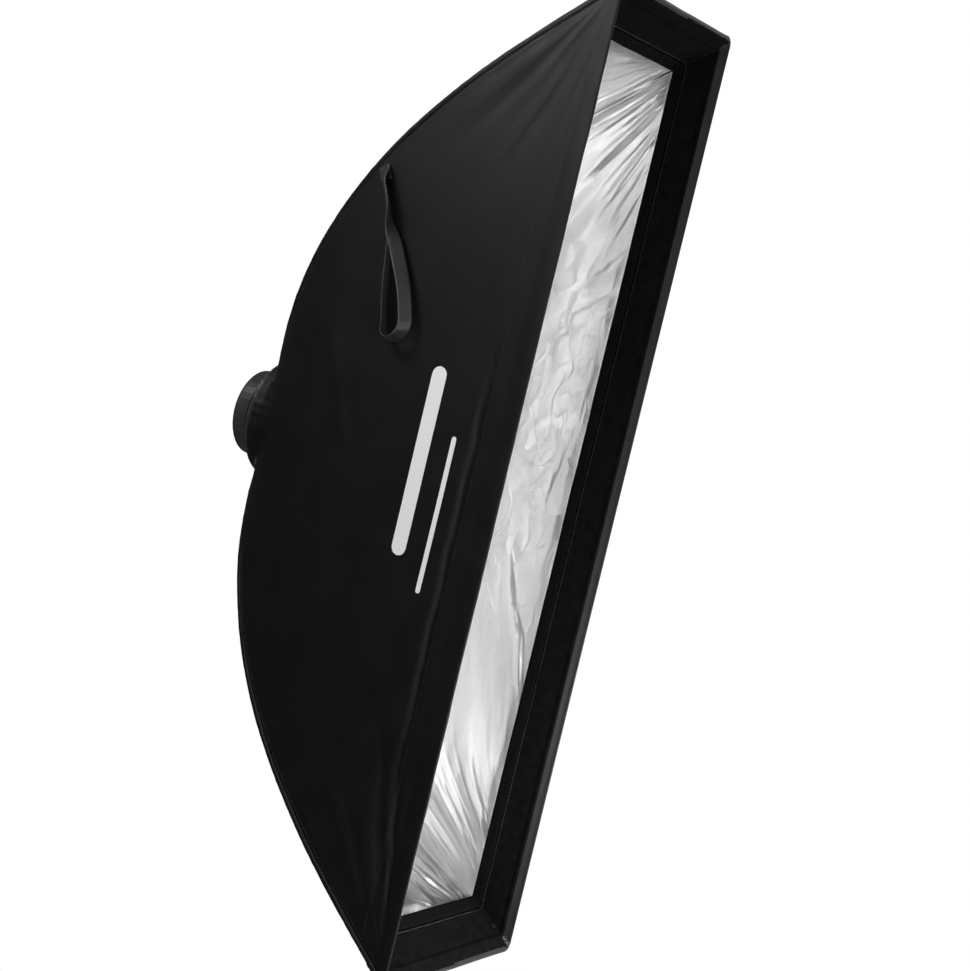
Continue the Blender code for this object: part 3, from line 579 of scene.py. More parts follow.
def corner_polar(wall, travel, across, end):
    """Distance and heading from a front corner: 0 along the front edge, a right angle to the rear."""
    front = float(wall.travel_at(0.0))
    behind = front - travel
    beside = CORNER_Z - end * across if wall.outward_axis == 0 else CORNER_X - end * across
    return np.hypot(behind, beside), np.arctan2(behind, beside)


def drum_sag(wall, travel, across):
    share = across / wall.half_width(travel)
    front = float(wall.travel_at(0.0))
    along = np.sin(math.pi * np.clip(travel / front, 0.0, 1.0)) ** 1.4
    return -PANEL_SAG * (1 - np.clip(share, -1.0, 1.0) ** 2) * along


def seam_puckers(wall, travel, across, seed, height, reach):
    """Small gathers where the cloth is stitched to the sleeves."""
    to_seam = wall.half_width(travel) - np.abs(across)
    side = np.sign(across)
    gathers = smooth_noise(travel / 0.008, side * 3.3, seed) + 0.5 * smooth_noise(travel / 0.0035, side, seed + 1)
    return height * gathers * np.exp(-np.maximum(to_seam, 0.0) / reach)


def draw_folds(folds, wall, travel, across):
    """The folds of a list, each (depth, across) to (depth, across), with its width and height."""
    total = np.zeros(travel.shape)
    for start, end, width, height in folds:
        start = (float(wall.travel_at(start[0])), start[1])
        end = (float(wall.travel_at(end[0])), end[1])
        total += long_fold(travel, across, start, end, width, height)
    return total


def panel_relief(wall, travel, across):
    """The outer cloth: drum-tight, gathered at its seams, pulled at the corners, creased by the band."""
    seed = PANEL_SEED[wall.where]
    relief = drum_sag(wall, travel, across)
    relief += 0.0010 * smooth_noise(travel / 0.16, across / 0.22, seed)
    relief += 0.0003 * smooth_noise(travel / 0.05, across / 0.09, seed + 1)
    relief += seam_puckers(wall, travel, across, seed + 2, 0.0004, 0.010)
    radius, angle = corner_polar(wall, travel, across, np.sign(across))
    relief += pulled_folds(radius, angle, across, seed + 10, (6, 14, 30), 0.10)
    if wall.outward_axis == 0:
        relief += draw_folds(SIDE_PANEL_FOLDS, wall, travel, across)
    return relief


def lining_relief(wall, travel, across, to_seam):
    """The lining: slack, crushed in its middle, pulled into streaks at the front corners."""
    seed = LINING_SEED[wall.where]
    relief = drum_sag(wall, travel, across)
    relief += 0.0016 * smooth_noise(travel / 0.11, across / 0.17, seed)
    relief += 0.0002 * smooth_noise(travel / 0.012, across / 0.12, seed + 3)
    crushed = rise(across, -0.30, -0.05) * (1 - rise(across, 0.22, 0.40))
    relief += crumple(travel, across, seed + 20, CRUSH_SIZES, 0.024) * crushed
    relief += seam_puckers(wall, travel, across, seed + 9, 0.0003, 0.012)
    relief += seam_strands(wall, travel, to_seam, seed + 13)
    radius, angle = corner_polar(wall, travel, across, np.sign(across))
    slope = 0.46 if wall.outward_axis == 0 else 0.30
    relief += pulled_folds(radius, angle, across, seed + 30, (9, 23, 56), slope)
    if wall.outward_axis == 0:
        relief += draw_folds(SIDE_LINING_FOLDS, wall, travel, across)
    return relief * rise(to_seam, 0.0, 0.006)


def seam_strands(wall, travel, to_seam, seed):
    """Folds that run side by side along the rods, where the lining is pulled lengthwise."""
    near_front = rise(travel, 0.45 * float(wall.travel_at(0.0)), float(wall.travel_at(0.0)))
    reach = 0.030 if wall.outward_axis == 0 else 0.090
    fine = smooth_noise(to_seam / 0.0045, travel / 0.09, seed)
    broad = smooth_noise(to_seam / 0.012, travel / 0.14, seed + 1)
    return (0.0004 * fine + 0.0009 * broad) * np.exp(-np.maximum(to_seam, 0.0) / reach) * near_front


def sheet_grid(wall, front_depth, rear_travel, inset, rows, columns, crowding=1.0):
    """Travels and places across for a wall's sheet; crowding over 1 packs rows near the front."""
    front = float(wall.travel_at(front_depth))
    share = 1 - (1 - np.linspace(0.0, 1.0, rows)) ** crowding
    travel = (rear_travel + (front - rear_travel) * share)[:, None]
    across = wall.half_width(travel, inset) * np.linspace(-1.0, 1.0, columns)[None, :]
    return np.broadcast_to(travel, across.shape), across


def panel_lift(wall, travel, across):
    """The outer panel's surface: its folds, then its turn over the folded front edge."""
    depth = wall.depth_at(travel)
    nose = np.sqrt(1 - np.clip(1 - depth / HEM_NOSE, 0.0, 1.0) ** 2)
    over_hem = HEM_LIFT - HEM_NOSE + (HEM_NOSE + 0.0005) * nose + band_wave(wall, across)
    behind_hem = PANEL_LIFT + panel_relief(wall, travel, across)
    blend = rise(depth, 0.004, 0.030)
    return over_hem * (1 - blend) + behind_hem * blend


def round_corners(wall, travel, across, lift):
    """Near the front edge the panel's ends follow the front band round to its mitres."""
    depth = wall.depth_at(travel)
    rounding = CORNER_ROUNDING + lift
    flat = wall.neighbour().out_at(depth, lift) - rounding
    past = np.clip((np.abs(across) - flat) / (np.abs(across[:, -1:]) - flat), 0.0, 1.0)
    turn = past * math.pi / 4
    near = (1 - rise(depth, 0.006, POCKET_END)) * (past > 0)
    bent = np.sign(across) * (flat + rounding * np.sin(turn))
    return across * (1 - near) + bent * near, lift - rounding * (1 - np.cos(turn)) * near


def pull_map(wall, travel, across):
    """Heading and distance from the nearer front corner; the short end walls fade sooner."""
    radius, angle = corner_polar(wall, travel, across, np.sign(across))
    return flat_map(angle, radius if wall.outward_axis == 0 else 1.6 * radius)


def add_wall_sheet(wall, name, points, travel, across, look):
    faces = grid_faces(*travel.shape)
    cloth = flat_map(across, travel)
    pull = pull_map(wall, travel, across)
    return add_piece(f"{name}_cloth", points, faces, look, "softbox", cloth=cloth, pull=pull)


def make_outer_panel(wall, kind, rows, columns):
    travel, across = sheet_grid(wall, PANEL_FRONT, 0.012, 0.0035, rows, columns, 1.5)
    lift = panel_lift(wall, travel, across)
    across, lift = round_corners(wall, travel, across, lift)
    points = wall.points(travel, across, lift)
    name = f"{kind}_panel_{wall.where}"
    piece = add_wall_sheet(wall, name, points, travel, across, "black_fabric")
    thicken(piece, SHEET_THICKNESS)
    declare_stretched(wall, name, 0.0035, PANEL_FRONT)


def make_lining(wall, kind, rows, columns):
    """A lining sheet that meets its neighbours along the rods and slips under the tape in front."""
    inset = 0.0058
    front_depth = TAPE_DEPTH - 0.005
    travel, across = sheet_grid(wall, front_depth, 0.004, inset, rows, columns, 1.5)
    depth = wall.depth_at(travel)
    under_tape = 1 - rise(depth, TAPE_DEPTH - 0.002, TAPE_DEPTH + 0.090)
    lift = LINING_LIFT + (TAPE_LIFT + 0.0003 - LINING_LIFT) * under_tape
    seam = wall.seam_half(travel, lift) + 0.0006
    across = across / across[:, -1:] * seam
    lift = lift + band_wave(wall, across) * under_tape
    loose = rise(depth, TAPE_DEPTH - 0.002, TAPE_DEPTH + 0.014)
    lift = lift + lining_relief(wall, travel, across, seam - np.abs(across)) * loose
    points = wall.points(travel, across, lift)
    name = f"{kind}_lining_{wall.where}"
    piece = add_wall_sheet(wall, name, points, travel, across, "silver_fabric")
    declare_stretched(wall, name, inset, front_depth)


def declare_stretched(wall, node, inset, front_depth):
    """Works out the cut's size (its longest ruling, its length from ring to front and its flat area), which nothing
    uses, and hides the CAD node.
    """
    width = 2 * float(wall.half_width(float(wall.travel_at(front_depth)), inset))
    length = float(wall.travel_at(front_depth))
    area = wall.flat_area(inset, front_depth)
    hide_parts(node)


# ---------------------------------------------------------------- front band and tapes


def frame_section(wall, lifts, depths, straight, arc):
    """A wall's share of the rounded front frame, from the middle of one corner to the next.

    Returns points[station, section] with each station's place along the frame.
    """
    lifts, depths = np.asarray(lifts), np.asarray(depths)
    out = wall.out_at(depths, lifts)
    half = wall.neighbour().out_at(depths, lifts)
    rounding = np.maximum(CORNER_ROUNDING + lifts, 0.0008)
    turn = np.linspace(math.pi / 4, 0.0, arc, endpoint=False)
    share = np.concatenate([-np.ones(arc), np.linspace(-1.0, 1.0, straight), np.ones(arc)])
    angle = np.concatenate([-turn, np.zeros(straight), turn[::-1]])
    share, angle = share[:, None], angle[:, None]
    across = share * (half - rounding) + rounding * np.sin(angle)
    outward = out - rounding + rounding * np.cos(angle)
    return outward, np.broadcast_to(depths, outward.shape), across


def folded_hem():
    """(lift, depth) of the front band's section: a fold, a padded hem, a facing to its stitched edge."""
    middle = HEM_LIFT - HEM_NOSE
    turn = np.linspace(0.0, math.pi, 9)
    nose = [(middle + HEM_NOSE * math.cos(a), HEM_NOSE - HEM_NOSE * math.sin(a)) for a in turn]
    inside = middle - HEM_NOSE
    hem = [(inside + (FACING_LIFT - inside) * rise(d, 0.0, HEM_DEPTH), d) for d in np.linspace(0.002, HEM_DEPTH, 10)]
    facing = [(FACING_LIFT + 0.0005, d) for d in np.linspace(HEM_DEPTH + 0.0005, BAND_DEPTH - 0.001, 10)]
    back = FACING_LIFT + FACING_THICKNESS
    turned_edge = [(FACING_LIFT + 0.0003, BAND_DEPTH), (back - 0.0003, BAND_DEPTH), (back, BAND_DEPTH - 0.001)]
    inner = [(back, d) for d in np.linspace(BAND_DEPTH - 0.006, HEM_DEPTH + 0.001, 6)]
    step = [(HEM_LIFT - 0.002, HEM_DEPTH + 0.0005), (HEM_LIFT - 0.0004, HEM_DEPTH), (HEM_LIFT, HEM_DEPTH - 0.0008)]
    return np.array(nose + hem + facing + turned_edge + inner + step)


def band_wave(wall, across):
    """The front edge's own gentle waves, shared by every layer that meets it."""
    seed = BAND_SEED[wall.where]
    return 0.0007 * smooth_noise(across / 0.09, seed, seed) + 0.0003 * smooth_noise(across / 0.03, seed, seed + 1)


def band_ripple(wall, depth, across):
    """How the front band waves, in lift and in depth."""
    seed = BAND_SEED[wall.where]
    wave = band_wave(wall, across)
    slack = 0.0006 * smooth_noise(across / 0.035, depth / 0.02, seed + 2)
    inside = rise(depth, 0.008, 0.022) * (1 - rise(depth, 0.040, 0.047))
    puckers = 0.00018 * smooth_noise(across / 0.004, 0.0, seed + 3) * bell(depth - 0.0465, 0.004)
    hem = 0.00015 * smooth_noise(across / 0.006, depth / 0.01, seed + 4) * bell(depth - HEM_DEPTH, 0.004)
    return wave + slack * inside + puckers + hem, 0.4 * wave * (1 - rise(depth, 0.0, 0.02))


def make_front_band(wall, straight):
    section = folded_hem()
    outward, depth, across = frame_section(wall, section[:, 0], section[:, 1], straight, 7)
    ripple, shift = band_ripple(wall, depth, across)
    points = wall.place(outward + ripple, depth + shift, across)
    girth = np.concatenate([[0.0], np.cumsum(np.linalg.norm(np.diff(section, axis=0), axis=1))])
    name = f"front_band_{wall.where}"
    piece = add_closed_sweep(f"{name}_cloth", points, "band_fabric", cloth=flat_map(across, girth))
    paint_hem(piece, 0.7 * HEM_DEPTH if wall.outward_axis == 0 else 2 * HEM_NOSE)
    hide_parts(name)


def paint_hem(piece, turned_in):
    """The panel's cloth is turned in over the front edge, which takes the panel's look that far."""
    piece.data.materials.append(LOOKS["black_fabric"])
    for face in piece.data.polygons:
        if face.center.y + DEPTH < turned_in:
            face.material_index = 1


def make_hook_tape(wall, straight):
    front, rear = BAND_DEPTH + 0.0003, TAPE_DEPTH
    outer, inner = TAPE_LIFT, TAPE_LIFT - TAPE_THICKNESS
    rows = np.linspace(front, rear, 9)
    section = [(inner, d) for d in rows] + [(outer, d) for d in rows[::-1]]
    section = np.array(section)
    section[[0, 8], 0] += 0.0004
    outward, depth, across = frame_section(wall, section[:, 0], section[:, 1], straight, 5)
    ripple, _ = band_ripple(wall, np.full_like(depth, BAND_DEPTH), across)
    pile = 0.00015 * smooth_noise(across / 0.002, depth / 0.002, 6)
    points = wall.place(outward + ripple - np.abs(pile), depth, across)
    name = f"hook_tape_{wall.where}"
    piece = add_closed_sweep(f"{name}_strip", points, "hook_tape", cloth=flat_map(across, depth))
    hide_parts(name)


# ---------------------------------------------------------------- sleeves and corner pockets


def rod_travel_points(start, end, count, sign):
    """Points of a rod's line between two distances from its front end."""
    line = ROD_LINE[::-1]
    travelled = np.concatenate([[0.0], np.cumsum(np.linalg.norm(np.diff(line, axis=0), axis=1))])
    end = travelled[-1] + end if end < 0 else end
    marks = np.linspace(start, end, count)
    points = np.stack([np.interp(marks, travelled, line[:, i]) for i in range(3)], axis=1)
    return points * [sign[0], 1.0, sign[1]] - [0.0, DEPTH, 0.0]


def make_rod_sleeve(name, sign, seed):
    """The channel that a rod runs in, gathered a little along its seams."""

    def section(travel, angle):
        gather = 0.00022 * smooth_noise(travel / 0.007, np.cos(angle) * 1.5, seed)
        soft = 0.00035 * smooth_noise(travel / 0.05, angle, seed + 1)
        return SLEEVE_RADIUS + gather + soft

    centres = rod_travel_points(POCKET_END - 0.004, -0.006, 260, sign)
    piece = swept_tube(f"rod_sleeve_{name}_cloth", centres, section, "black_fabric")
    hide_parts(f"rod_sleeve_{name}")


def make_corner_pocket(name, sign, seed):
    """The stitched pocket over a rod's tip, its closed end rounded."""
    start, end = 0.007, POCKET_END

    def section(travel, angle):
        nose = np.sqrt(np.clip(1 - (1 - travel / 0.012).clip(0, 1) ** 2, 0.0025, 1.0))
        gather = 0.0003 * smooth_noise(travel / 0.006, np.cos(angle) * 2, seed)
        hem = 0.0005 * rise(travel, end - start - 0.006, end - start - 0.004)
        return (SLEEVE_RADIUS + 0.0003 + gather + hem) * nose

    centres = rod_travel_points(start, end, 48, sign)
    piece = swept_tube(f"corner_pocket_{name}_cloth", centres, section, "black_fabric")
    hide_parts(f"corner_pocket_{name}")


# ---------------------------------------------------------------- rear cuff and throat


def hull_depth(x, z, lift):
    """Depth of the cloth box at a place seen from the rear: the nearer of the two walls there."""
    side, end = WALL["right"], WALL["top"]
    side_depth = np.interp(np.abs(x), side.out + lift * side.facing_out, side.depth + lift * side.facing_depth)
    end_depth = np.interp(np.abs(z), end.out + lift * end.facing_out, end.depth + lift * end.facing_depth)
    return np.minimum(side_depth, end_depth)


def make_rear_cuff(rows=26, columns=360):
    """Cloth gathered from the panels up to the speedring's rim, with a rolled elastic edge."""
    angle = np.linspace(0.0, 2 * math.pi, columns, endpoint=False)[None, :]
    share = np.linspace(0.0, 1.0, rows)[:, None]
    start_x, start_z, power = 0.0860, 0.118, 4.0
    reach = (np.abs(np.cos(angle) / start_x) ** power + np.abs(np.sin(angle) / start_z) ** power) ** (-1 / power)
    start_depth = hull_depth(reach * np.cos(angle), reach * np.sin(angle), PANEL_LIFT) - 0.001
    rim = RING_RADIUS + 0.0022
    climb = rise(share, 0.0, 0.62)
    radius = reach + (rim - reach) * climb**0.75
    depth = start_depth + (RING_FRONT - 0.002 - start_depth) * climb
    depth = depth + (CUFF_REAR - RING_FRONT + 0.001) * rise(share, 0.5, 0.93)
    roll = rise(share, 0.9, 1.0)
    radius = radius + 0.0011 * bell(share - 0.92, 0.05) - 0.0028 * roll
    gathers = smooth_noise(angle * 18 / math.pi, share * 1.5, 61) + 0.6 * smooth_noise(angle * 41 / math.pi, share, 62)
    radius = radius + 0.0010 * gathers * rise(share, 0.1, 0.45) * (1 - 0.75 * rise(share, 0.75, 0.95))
    depth = depth + 0.0006 * gathers * rise(share, 0.1, 0.4) * (1 - rise(share, 0.6, 0.9))
    points = np.stack([radius * np.cos(angle), depth - DEPTH, radius * np.sin(angle)], axis=-1)
    faces = grid_faces(rows, columns, wrap=True)
    piece = add_piece("rear_cuff_cloth", points, faces, "black_fabric", cloth=flat_map(angle * rim, share * 0.05))
    thicken(piece, SHEET_THICKNESS)
    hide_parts("rear_cuff")


# ---------------------------------------------------------------- ribbon loop


LOOP_ROOT_Z = 0.344
LOOP_LENGTH = 0.214
LOOP_BEND_RADIUS = 0.019
LOOP_LEAN = math.radians(24)
LOOP_SWAY = 0.0075  # how far the strands bow towards the front
RIBBON_CLEARANCE = 0.003
TAB_START = -0.004
TAB_LENGTH = 0.014
SEAM_TO_TAB = 0.012


def ribbon_root():
    """Where the ribbon is sewn down, as a place on the left panel's grid: travel and height."""
    travel = float(np.interp(LOOP_ROOT_Z, WALL["left"].half, WALL["left"].travel)) + SEAM_TO_TAB
    return travel, LOOP_ROOT_Z - SEAM_TO_TAB / 2


def ribbon_place():
    """At the ribbon's root on the left panel: X across its hang, Y down it, Z outwards."""
    wall = WALL["left"]
    surface = PANEL_LIFT + SHEET_THICKNESS / 2
    travel, height = ribbon_root()
    root = Vector(wall.points(travel, height, surface))
    ahead = Vector(wall.points(travel + 0.002, height, surface))
    forward = (ahead - root).normalized()
    down = (math.cos(LOOP_LEAN) * Vector((0, 0, -1)) + math.sin(LOOP_LEAN) * forward).normalized()
    outward = Vector((0, 0, -1)).cross(forward).normalized()
    outward = -outward if outward.x > 0 else outward
    turn = Matrix((down.cross(outward).normalized(), down, outward)).transposed().to_4x4()
    return Matrix.Translation(root) @ turn


def ribbon_line(count):
    """Centre line of the hanging loop in its own plane, root to root at an even pace."""
    centre = LOOP_LENGTH - LOOP_BEND_RADIUS
    drop = np.linspace(0.0, centre, 80, endpoint=False)
    apart = 0.0008 + (LOOP_BEND_RADIUS - 0.0008) * rise(drop, 0.045, 0.92 * centre)
    turn = np.linspace(0.0, math.pi, 40)
    x = np.concatenate([apart, LOOP_BEND_RADIUS * np.cos(turn), -apart[::-1]])
    y = np.concatenate([drop, centre + LOOP_BEND_RADIUS * np.sin(turn), drop[::-1]])
    x = x - LOOP_SWAY * np.sin(math.pi * (y / LOOP_LENGTH) ** 0.6)
    travelled = np.concatenate([[0.0], np.cumsum(np.hypot(np.diff(x), np.diff(y)))])
    travel = np.linspace(0.0, travelled[-1], count)
    return travel, np.interp(travel, travelled, x), np.interp(travel, travelled, y)


def make_strap_loop(count=240):
    """A satin ribbon: flat at its root, the rear strand edge on, the front strand turned to face out."""
    place = ribbon_place()
    travel, x, y = ribbon_line(count)
    share = travel / travel[-1]
    ahead = np.stack([np.gradient(x), np.gradient(y), np.zeros(count)], axis=1)
    ahead /= np.linalg.norm(ahead, axis=1)[:, None]
    up = np.array([0.0, 0.0, 1.0])
    beside = np.cross(ahead, up)
    tilt = -45.0 - 45.0 * (1 - rise(share, 0.0, 0.05)) + 30.0 * bell(share - 0.49, 0.05)
    tilt = np.radians(tilt + 87.0 * rise(share, 0.76, 0.90) + 48.0 * rise(share, 0.95, 1.0))
    width_way = up * np.cos(tilt)[:, None] + beside * np.sin(tilt)[:, None]
    height = RIBBON_CLEARANCE + RIBBON_WIDTH / 2 * np.abs(np.cos(tilt)) - 0.0012 * (1 - rise(share, 0.0, 0.04))
    centre = np.stack([x, y, height], axis=1)
    lanes = np.linspace(-0.5, 0.5, 9)[None, :, None]
    points = centre[:, None] + RIBBON_WIDTH * lanes * width_way[:, None]
    points = points @ np.array(place.to_3x3()).T + np.array(place.translation)
    faces = grid_faces(count, lanes.shape[1])
    cloth = flat_map(travel[:, None], lanes[..., 0] * RIBBON_WIDTH)
    piece = add_piece("strap_loop_ribbon", points, faces, "ribbon", "strap", cloth=cloth)
    thicken(piece, RIBBON_THICKNESS)
    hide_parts("strap_loop")


def tab_points(x, y, lift):
    """Places on the left panel from the ribbon's own directions, raised off the cloth."""
    wall = WALL["left"]
    travel, height = ribbon_root()
    travel = travel + y * math.sin(LOOP_LEAN) - x * math.cos(LOOP_LEAN)
    across = height - y * math.cos(LOOP_LEAN) - x * math.sin(LOOP_LEAN)
    travel, across = np.broadcast_arrays(travel, across)
    return wall.points(travel, across, panel_lift(wall, travel, across) + SHEET_THICKNESS / 2 + lift)


def make_strap_tab(rows=24, columns=18):
    """The patch of ribbon that sews the loop down, with two rows of stitches across it."""
    x = np.linspace(-RIBBON_WIDTH / 2, RIBBON_WIDTH / 2, columns)[None, :]
    y = np.linspace(TAB_START, TAB_LENGTH, rows)[:, None]
    padding = 0.0012 - 0.0006 * rise(np.abs(y - 0.005), 0.004, 0.009) + 0.0 * x
    piece = add_piece("strap_tab_ribbon", tab_points(x, y, padding), grid_faces(rows, columns), "ribbon",
                      cloth=flat_map(y, x))
    thicken(piece, RIBBON_THICKNESS)
    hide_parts("strap_tab")
    row = np.linspace(-RIBBON_WIDTH / 2 + 0.001, RIBBON_WIDTH / 2 - 0.001, 60)
    for label, at in (("a", 0.001), ("b", 0.009)):
        path = tab_points(row, np.full_like(row, at), 0.0018)
        normals = tab_points(row, np.full_like(row, at), 0.0118) - path
        stitches = stitch_row(f"tab_stitches_{label}", path, normals, "black_thread", 0.003, 0.0022, 0.0005)


# ---------------------------------------------------------------- print and stitches


def print_bar(name, first_depth, last_depth, low, high):
    """A plain printed stripe with round ends on the left panel."""
    wall = WALL["left"]
    start, end = (float(wall.travel_at(d)) for d in (last_depth, first_depth))
    rounding = (end - start) / 2
    rows, columns = 17, 161
    u = np.linspace(-1.0, 1.0, rows)[:, None]
    v = np.linspace(low, high, columns)[None, :]
    inside = np.clip((np.minimum(v - low, high - v)) / rounding, 0.0, 1.0)
    reach = rounding * np.sqrt(1 - (1 - inside) ** 2)
    travel = (start + end) / 2 + u * reach
    across = np.broadcast_to(v, travel.shape)
    lift = panel_lift(wall, travel, across) + SHEET_THICKNESS / 2 + 0.0001
    points = wall.points(travel, across, lift)
    piece = add_piece(name, points, grid_faces(rows, columns), "print_ink", cloth=flat_map(across, travel))


def stitch_row(name, path, normals, look, pitch, length, thickness):
    """Separate stitches along a path, each a little pillow lying on the cloth."""
    path, normals = np.asarray(path), np.asarray(normals)
    travel = np.concatenate([[0.0], np.cumsum(np.linalg.norm(np.diff(path, axis=0), axis=1))])
    centres = np.arange(pitch / 2, travel[-1], pitch)
    ends = [np.clip(centres + s * length / 2, 0, travel[-1]) for s in (-1, 1)]
    at = [np.stack([np.interp(e, travel, path[:, i]) for i in range(3)], axis=1) for e in ends]
    normal = np.stack([np.interp(centres, travel, normals[:, i]) for i in range(3)], axis=1)
    normal /= np.linalg.norm(normal, axis=1)[:, None]
    ahead = at[1] - at[0]
    aside = np.cross(ahead, normal)
    aside /= np.linalg.norm(aside, axis=1)[:, None]
    points = []
    for share, size in ((0.0, 0.35), (0.18, 0.9), (0.5, 1.0), (0.82, 0.9), (1.0, 0.35)):
        spine = at[0] + share * ahead
        for way, scale in ((aside, 0.5), (normal, 0.8), (-aside, 0.5), (-normal, 0.3)):
            points.append(spine + way * thickness * size * scale)
    rings = np.concatenate([grid_faces(5, 4, wrap=True), [(3, 2, 1, 0), (16, 17, 18, 19)]])
    points = np.stack(points, axis=1)
    count = points.shape[1]
    faces = (rings[None] + count * np.arange(len(centres))[:, None, None]).reshape(-1, 4)
    return add_piece(name, points, faces, look)


def make_facing_stitches(wall):
    """The light stitch line along the facing's rear edge."""
    depth = BAND_DEPTH - 0.0016
    outward, depths, across = frame_section(wall, [FACING_LIFT], [depth], 400, 6)
    ripple, _ = band_ripple(wall, depths, across)
    path = wall.place(outward + ripple - 0.0002, depths, across)[:, 0]
    inward = np.zeros_like(path)
    inward[:, wall.outward_axis] = -wall.side
    piece = stitch_row(f"facing_stitches_{wall.where}", path, inward, "grey_thread", 0.0042, 0.0028, 0.0005)


def make_panel_stitches(wall):
    """Dark stitches outside: where the facing is sewn through, and along both sleeves."""
    half = float(wall.half_width(float(wall.travel_at(BAND_DEPTH)), 0.010))
    across = np.linspace(-half, half, 500)
    travel = np.full_like(across, float(wall.travel_at(BAND_DEPTH - 0.0016)))
    lay_panel_stitches(f"band_stitches_{wall.where}", wall, travel, across)
    for end, label in ((-1, "a"), (1, "b")):
        travel = np.linspace(0.03, float(wall.travel_at(0.045)), 500)
        across = end * wall.half_width(travel, SLEEVE_RADIUS + 0.0022)
        lay_panel_stitches(f"sleeve_stitches_{wall.where}_{label}", wall, travel, across)


def lay_panel_stitches(name, wall, travel, across):
    lift = panel_lift(wall, travel, across) + SHEET_THICKNESS / 2
    path = wall.points(travel, across, lift)
    normals = wall.points(travel, across, lift + 0.01) - path
    piece = stitch_row(name, path, normals, "black_thread", 0.0042, 0.0030, 0.0005)


# ---------------------------------------------------------------- assembly


# Folds as ((depth, height) of one end, the same of the other, width, height above the cloth).
SIDE_PANEL_FOLDS = (
    ((0.056, 0.16), (0.052, -0.40), 0.0055, -0.0024),
    ((0.052, -0.34), (0.010, -0.575), 0.0050, -0.0024),
    ((0.317, 0.144), (0.239, -0.015), 0.0120, 0.0010),
    ((0.090, -0.30), (0.034, -0.52), 0.0080, -0.0012),
)
SIDE_LINING_FOLDS = (
    ((0.050, 0.328), (0.110, 0.258), 0.0028, 0.00085),
    ((0.060, 0.270), (0.125, 0.215), 0.0022, 0.00050),
    ((0.066, 0.150), (0.095, -0.060), 0.0024, 0.00050),
    ((0.130, -0.085), (0.086, -0.210), 0.0050, -0.0020),
    ((0.090, -0.180), (0.058, -0.300), 0.0045, -0.0020),
    ((0.150, -0.200), (0.100, -0.330), 0.0060, 0.0004),
)
CRUSH_SIZES = (0.026, 0.017, 0.011, 0.007)

PANEL_SEED = {"left": 101, "right": 201, "bottom": 301, "top": 401}
LINING_SEED = {"left": 151, "right": 251, "bottom": 351, "top": 451}
BAND_SEED = {"left": 11, "right": 12, "bottom": 13, "top": 14}
SIDE_PANEL_GRID = (130, 340)
SIDE_LINING_GRID = (190, 480)
END_PANEL_GRID = (150, 84)
END_LINING_GRID = (190, 110)


def make_cloth():
    for where, wall in WALL.items():
        long_side = wall.outward_axis == 0
        kind = "side" if long_side else "end"
        make_outer_panel(wall, kind, *(SIDE_PANEL_GRID if long_side else END_PANEL_GRID))
        make_lining(wall, kind, *(SIDE_LINING_GRID if long_side else END_LINING_GRID))
        straight = 420 if long_side else 120
        make_front_band(wall, straight)
        make_hook_tape(wall, straight)
        make_facing_stitches(wall)
        make_panel_stitches(wall)
    for number, (name, sign) in enumerate(QUADRANTS.items()):
        make_rod_sleeve(name, sign, 501 + number)
        make_corner_pocket(name, sign, 521 + number)
    make_rear_cuff()


# ---------------------------------------------------------------- stage


CAMERA_PLACE = (-2.2460, -1.5916, 0.2171)
CAMERA_RIGHT = (0.48687857, -0.84219362, 0.23164448)
CAMERA_UP = (-0.03706582, 0.24504052, 0.96880404)
CAMERA_BACK = (-0.87268286, -0.48027602, 0.08808838)
CAMERA_LENS = 77.41  # millimetres on a 36 mm wide sensor


def make_camera():
    camera = bpy.data.cameras.new("camera")
    camera.sensor_fit = "HORIZONTAL"
    camera.sensor_width = 36.0
    camera.lens = CAMERA_LENS
    turn = Matrix((CAMERA_RIGHT, CAMERA_UP, CAMERA_BACK)).transposed().to_4x4()
    obj = bpy.data.objects.new("camera", camera)
    obj.matrix_world = Matrix.Translation(CAMERA_PLACE) @ turn
    bpy.context.scene.collection.objects.link(obj)
    bpy.context.scene.camera = obj


def add_softlight(name, place, target, size, power):
    """A square soft light at a place, turned to a target."""
    lamp = bpy.data.lights.new(name, "AREA")
    lamp.shape = "RECTANGLE"
    lamp.size, lamp.size_y = size
    lamp.energy = power
    obj = bpy.data.objects.new(name, lamp)
    obj.location = place
    obj.rotation_mode = "QUATERNION"
    obj.rotation_quaternion = (Vector(target) - Vector(place)).to_track_quat("-Z", "Y")
    obj.visible_camera = False
    bpy.context.scene.collection.objects.link(obj)


def white_to_camera(tree, lit, output):
    """Shows plain white to the camera in place of a lit shader, and the lit shader to all else."""
    white = tree.nodes.new("ShaderNodeEmission" if output == "Surface" else "ShaderNodeBackground")
    white.inputs["Strength"].default_value = 1.0
    white.inputs["Color"].default_value = (1.0, 1.0, 1.0, 1.0)
    ray = tree.nodes.new("ShaderNodeLightPath")
    mix = tree.nodes.new("ShaderNodeMixShader")
    tree.links.new(ray.outputs["Is Camera Ray"], mix.inputs[0])
    tree.links.new(lit, mix.inputs[1])
    tree.links.new(white.outputs[0], mix.inputs[2])
    return mix.outputs[0]


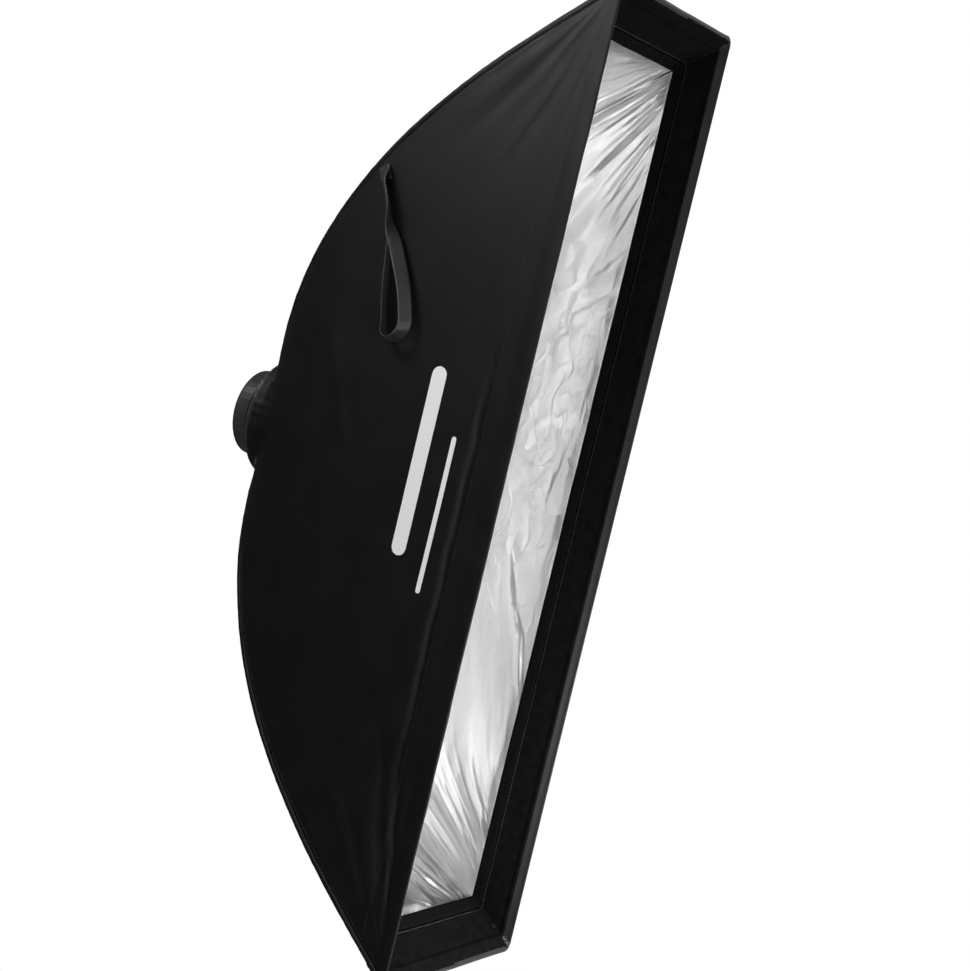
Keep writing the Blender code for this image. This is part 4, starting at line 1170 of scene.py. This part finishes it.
def make_stage():
    world = bpy.data.worlds.new("studio")
    bpy.context.scene.world = world
    world.use_nodes = True
    tree = world.node_tree
    background = tree.nodes["Background"]
    background.inputs["Color"].default_value = (1.0, 1.0, 1.0, 1.0)
    background.inputs["Strength"].default_value = WORLD_STRENGTH
    shown = white_to_camera(tree, background.outputs[0], "World")
    tree.links.new(shown, tree.nodes["World Output"].inputs["Surface"])

    floor = bpy.data.meshes.new("floor")
    reach, height = 14.0, -1.7
    corners = [(-reach, -reach, height), (reach, -reach, height), (reach, reach, height), (-reach, reach, height)]
    floor.from_pydata(corners, [], [(0, 1, 2, 3)])
    pale = bpy.data.materials.new("pale_floor")
    pale.use_nodes = True
    tree = pale.node_tree
    shader = tree.nodes["Principled BSDF"]
    shader.inputs["Base Color"].default_value = (0.3, 0.3, 0.3, 1.0)
    shader.inputs["Roughness"].default_value = 0.9
    shown = white_to_camera(tree, shader.outputs[0], "Surface")
    tree.links.new(shown, tree.nodes["Material Output"].inputs["Surface"])
    floor.materials.append(pale)
    obj = bpy.data.objects.new("floor", floor)
    bpy.context.scene.collection.objects.link(obj)


WORLD_STRENGTH = 0.12


def make_lights():
    add_softlight("near_panel_top", (-0.75, 0.3, 0.95), (-0.15, -0.38, 0.45), (0.5, 0.5), 7.0)
    add_softlight("left_side", (-2.6, -0.6, 0.2), (0.0, 0.0, 0.0), (0.8, 0.8), 19.0)
    add_softlight("front_left", (-1.6, -2.4, 0.3), (0.0, 0.0, 0.0), (0.8, 0.8), 15.0)
    add_softlight("right_side", (2.2, -1.6, 0.2), (0.0, 0.0, 0.0), (0.8, 0.8), 12.0)
    add_softlight("front_right", (1.6, -2.6, -0.6), (0.0, 0.0, -0.2), (0.8, 0.8), 44.0)
    add_softlight("front_low", (0.0, -0.95, -0.4), (-0.05, -0.2, -0.4), (0.22, 0.22), 5.0)


def main():
    bpy.context.scene.view_settings.view_transform = "Standard"
    finish_cad_nodes()
    make_cloth()
    make_strap_loop()
    make_strap_tab()
    print_bar("print_bar_broad", 0.118, 0.140, -0.105, 0.125)
    print_bar("print_bar_fine", 0.082, 0.089, -0.140, 0.050)
    make_camera()
    make_stage()
    make_lights()


main()
